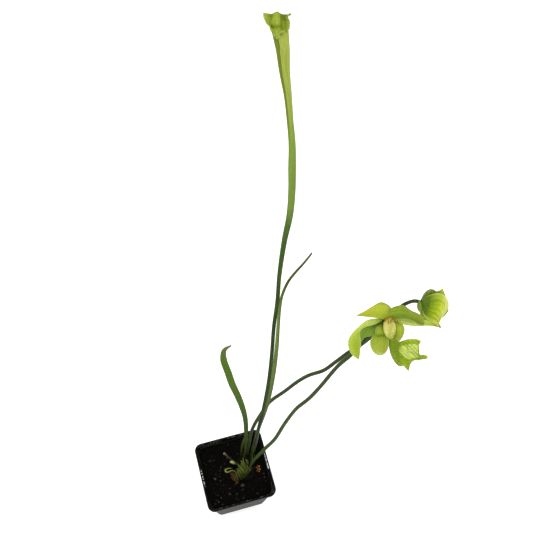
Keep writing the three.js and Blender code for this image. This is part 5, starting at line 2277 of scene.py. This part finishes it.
@dataclass(frozen=True)
class GlobeFlower(Flower):
    """The younger flower, whose sepals still close into a globe.

    Its sepals and bracts are drawn, and its hidden pistil is measured from its receptacle.
    """

    origin: Triple = (231.0, 64.0, 334.0)
    sheets: tuple[tuple[str, SheetRows, PlantFinish], ...] = (
        ("sepal_b_front", SEPAL_B_FRONT, GLOBE_SEPAL),
        ("sepal_b_top", SEPAL_B_TOP, TOP_SEPAL_IN_SHADE),
        ("sepal_b_back", SEPAL_B_BACK, OLIVE_TIP),
        ("sepal_b_low", SEPAL_B_LOW, LOW_SEPAL),
        ("sepal_b_under", SEPAL_B_UNDER, SEPAL_IN_SHADE),
    )
    bracts: tuple[tuple[str, tuple[Row, ...]], ...] = (
        ("bract_b_left", ((419.6, 300.8, 3.5, 1.2), (419.6, 304, 4.5, 2.7), (419.8, 308.6, 3.5, 2.8),
                          (421, 313, 1.5, 0.6))),
        ("bract_b_upper", ((421, 301, -4, 1), (424, 298, -6, 2.2), (428, 295.5, -8, 2),
                           (431, 294.5, -9, 0.5))),
        ("bract_b_low", ((421.5, 303, -5, 1), (424, 306.5, -7, 2.3), (427, 310, -9, 2),
                         (429, 313, -10, 0.5))),
    )
    pistil: tuple[Row, ...] = (
        (1.2, -0.5, -0.9, 1), (3.4, -1.2, -2.4, 2.4), (5.8, -2, -4, 2.4), (8, -3, -5, 1.2),
        (11, -5, -5, 1), (15.6, -7.8, -3.4, 1),
    )

    def grown(self) -> list[Piece]:
        """Returns the bracts, the pistil and the stamens."""
        drawn = [(name, self.sketch().rows(points)) for name, points in self.bracts]
        found = [bract(name, Spine(rows, (TO_VIEW,))) for name, rows in drawn]
        pistil = ovary("b", Spine(self.pistil, (FRONT,), self.origin))
        looks = ("stamens_b", "stamen_brown", STAMEN_BROWN)
        ring = ((2.4, -0.9, -1.5), (0.83, -0.29, -0.61), 2.6, 1.7, 7)
        return [*found, pistil, Stamens("stamen_ring_b", *looks, self.origin, *ring)]


# Studio


@dataclass(frozen=True)
class Lamp:
    """A soft rectangular studio lamp."""

    name: str
    place: Triple
    aim: Triple
    size: Pair
    power: float

    def build(self) -> None:
        """Adds the lamp, turned to its aim."""
        data = bpy.data.lights.new(self.name, "AREA")
        data.shape = "RECTANGLE"
        data.size, data.size_y = self.size
        data.energy = self.power
        lamp = bpy.data.objects.new(self.name, data)
        bpy.context.scene.collection.objects.link(lamp)
        lamp.location = self.place
        aim = Vector(self.aim) - Vector(self.place)
        lamp.rotation_euler = aim.to_track_quat("-Z", "Y").to_euler()


@dataclass(frozen=True)
class Studio:
    """The pale floor, the even sky and the soft lamps."""

    sky: float = 0.86
    floor_half: float = 12.0
    lamps: tuple[Lamp, ...] = (
        Lamp("top_lamp", (-0.3, 0.1, 2.4), (0.05, 0.1, 0.2), (1.6, 1.6), 22.0),
        Lamp("left_strip", (-1.3, 0.0, 0.75), (0.0, 0.0, 0.1), (0.25, 1.2), 2.6),
        Lamp("right_strip", (1.5, 0.2, 0.8), (0.0, 0.0, 0.1), (0.25, 1.2), 2.6),
    )

    def build(self) -> None:
        """Sets up the studio."""
        floor = Workpiece.plane("studio_floor", self.floor_half)
        floor.object.data.materials.append(StudioFinish().dress())
        world = bpy.data.worlds.new("studio_sky")
        world.use_nodes = True
        background = world.node_tree.nodes["Background"]
        background.inputs["Color"].default_value = (1.0, 1.0, 1.0, 1.0)
        background.inputs["Strength"].default_value = self.sky
        bpy.context.scene.world = world
        bpy.context.scene.view_settings.view_transform = "Standard"
        for lamp in self.lamps:
            lamp.build()


def loose_bits() -> list[LooseBit]:
    """Returns the chips and grains that lie on the soil."""
    chip = (
        (0, 0, 0, 0.52), (0.3, 0.3, 0.1, 0.3), (-0.32, 0.26, 0.05, 0.26), (0.3, -0.22, 0.1, 0.3),
        (-0.26, -0.3, 0, 0.34), (0.02, -0.52, 0.05, 0.24), (0, 0.5, 0, 0.22),
    )
    grit = ("grit", GRIT)
    return [
        LooseBit("bark_flakes", "bark_chip", "bark", BARK, (30.2, -5, 82.6), (6.5, 8, 2.6), 0.5, chip),
        LooseBit("perlite_front", "perlite_grain_front", *grit, (-14, -27, 82), (3, 2.4, 1.8), 0.4),
        LooseBit("perlite_corner", "perlite_grain_corner", *grit, (-30, -33, 82), (3, 2.2, 1.8), 1.1),
        LooseBit("grit_middle", "grit_grain_middle", *grit, (5, -20.5, 82.2), (5, 3.6, 2.2), 0.2),
    ]


def corners(box: tuple[Vector, Vector]) -> list[list[float]]:
    """Returns a box's two corners as plain lists."""
    return [list(corner) for corner in box]


def main() -> None:
    """Builds the camera, the studio and every part of the plant, in order."""
    logging.basicConfig(level=logging.INFO, format="%(name)s: %(message)s")
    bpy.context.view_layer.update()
    Camera().build()
    Studio().build()
    pot = NurseryPot()
    pot.dress()
    PottingSoil(pot).dress()
    for bit in loose_bits():
        bit.dress()
    Crown().dress()
    Leaves().dress()
    TallPitcher().dress()
    OpenFlower().dress()
    GlobeFlower().dress()
    deselect_all()


if __name__ == "__main__":
    main()
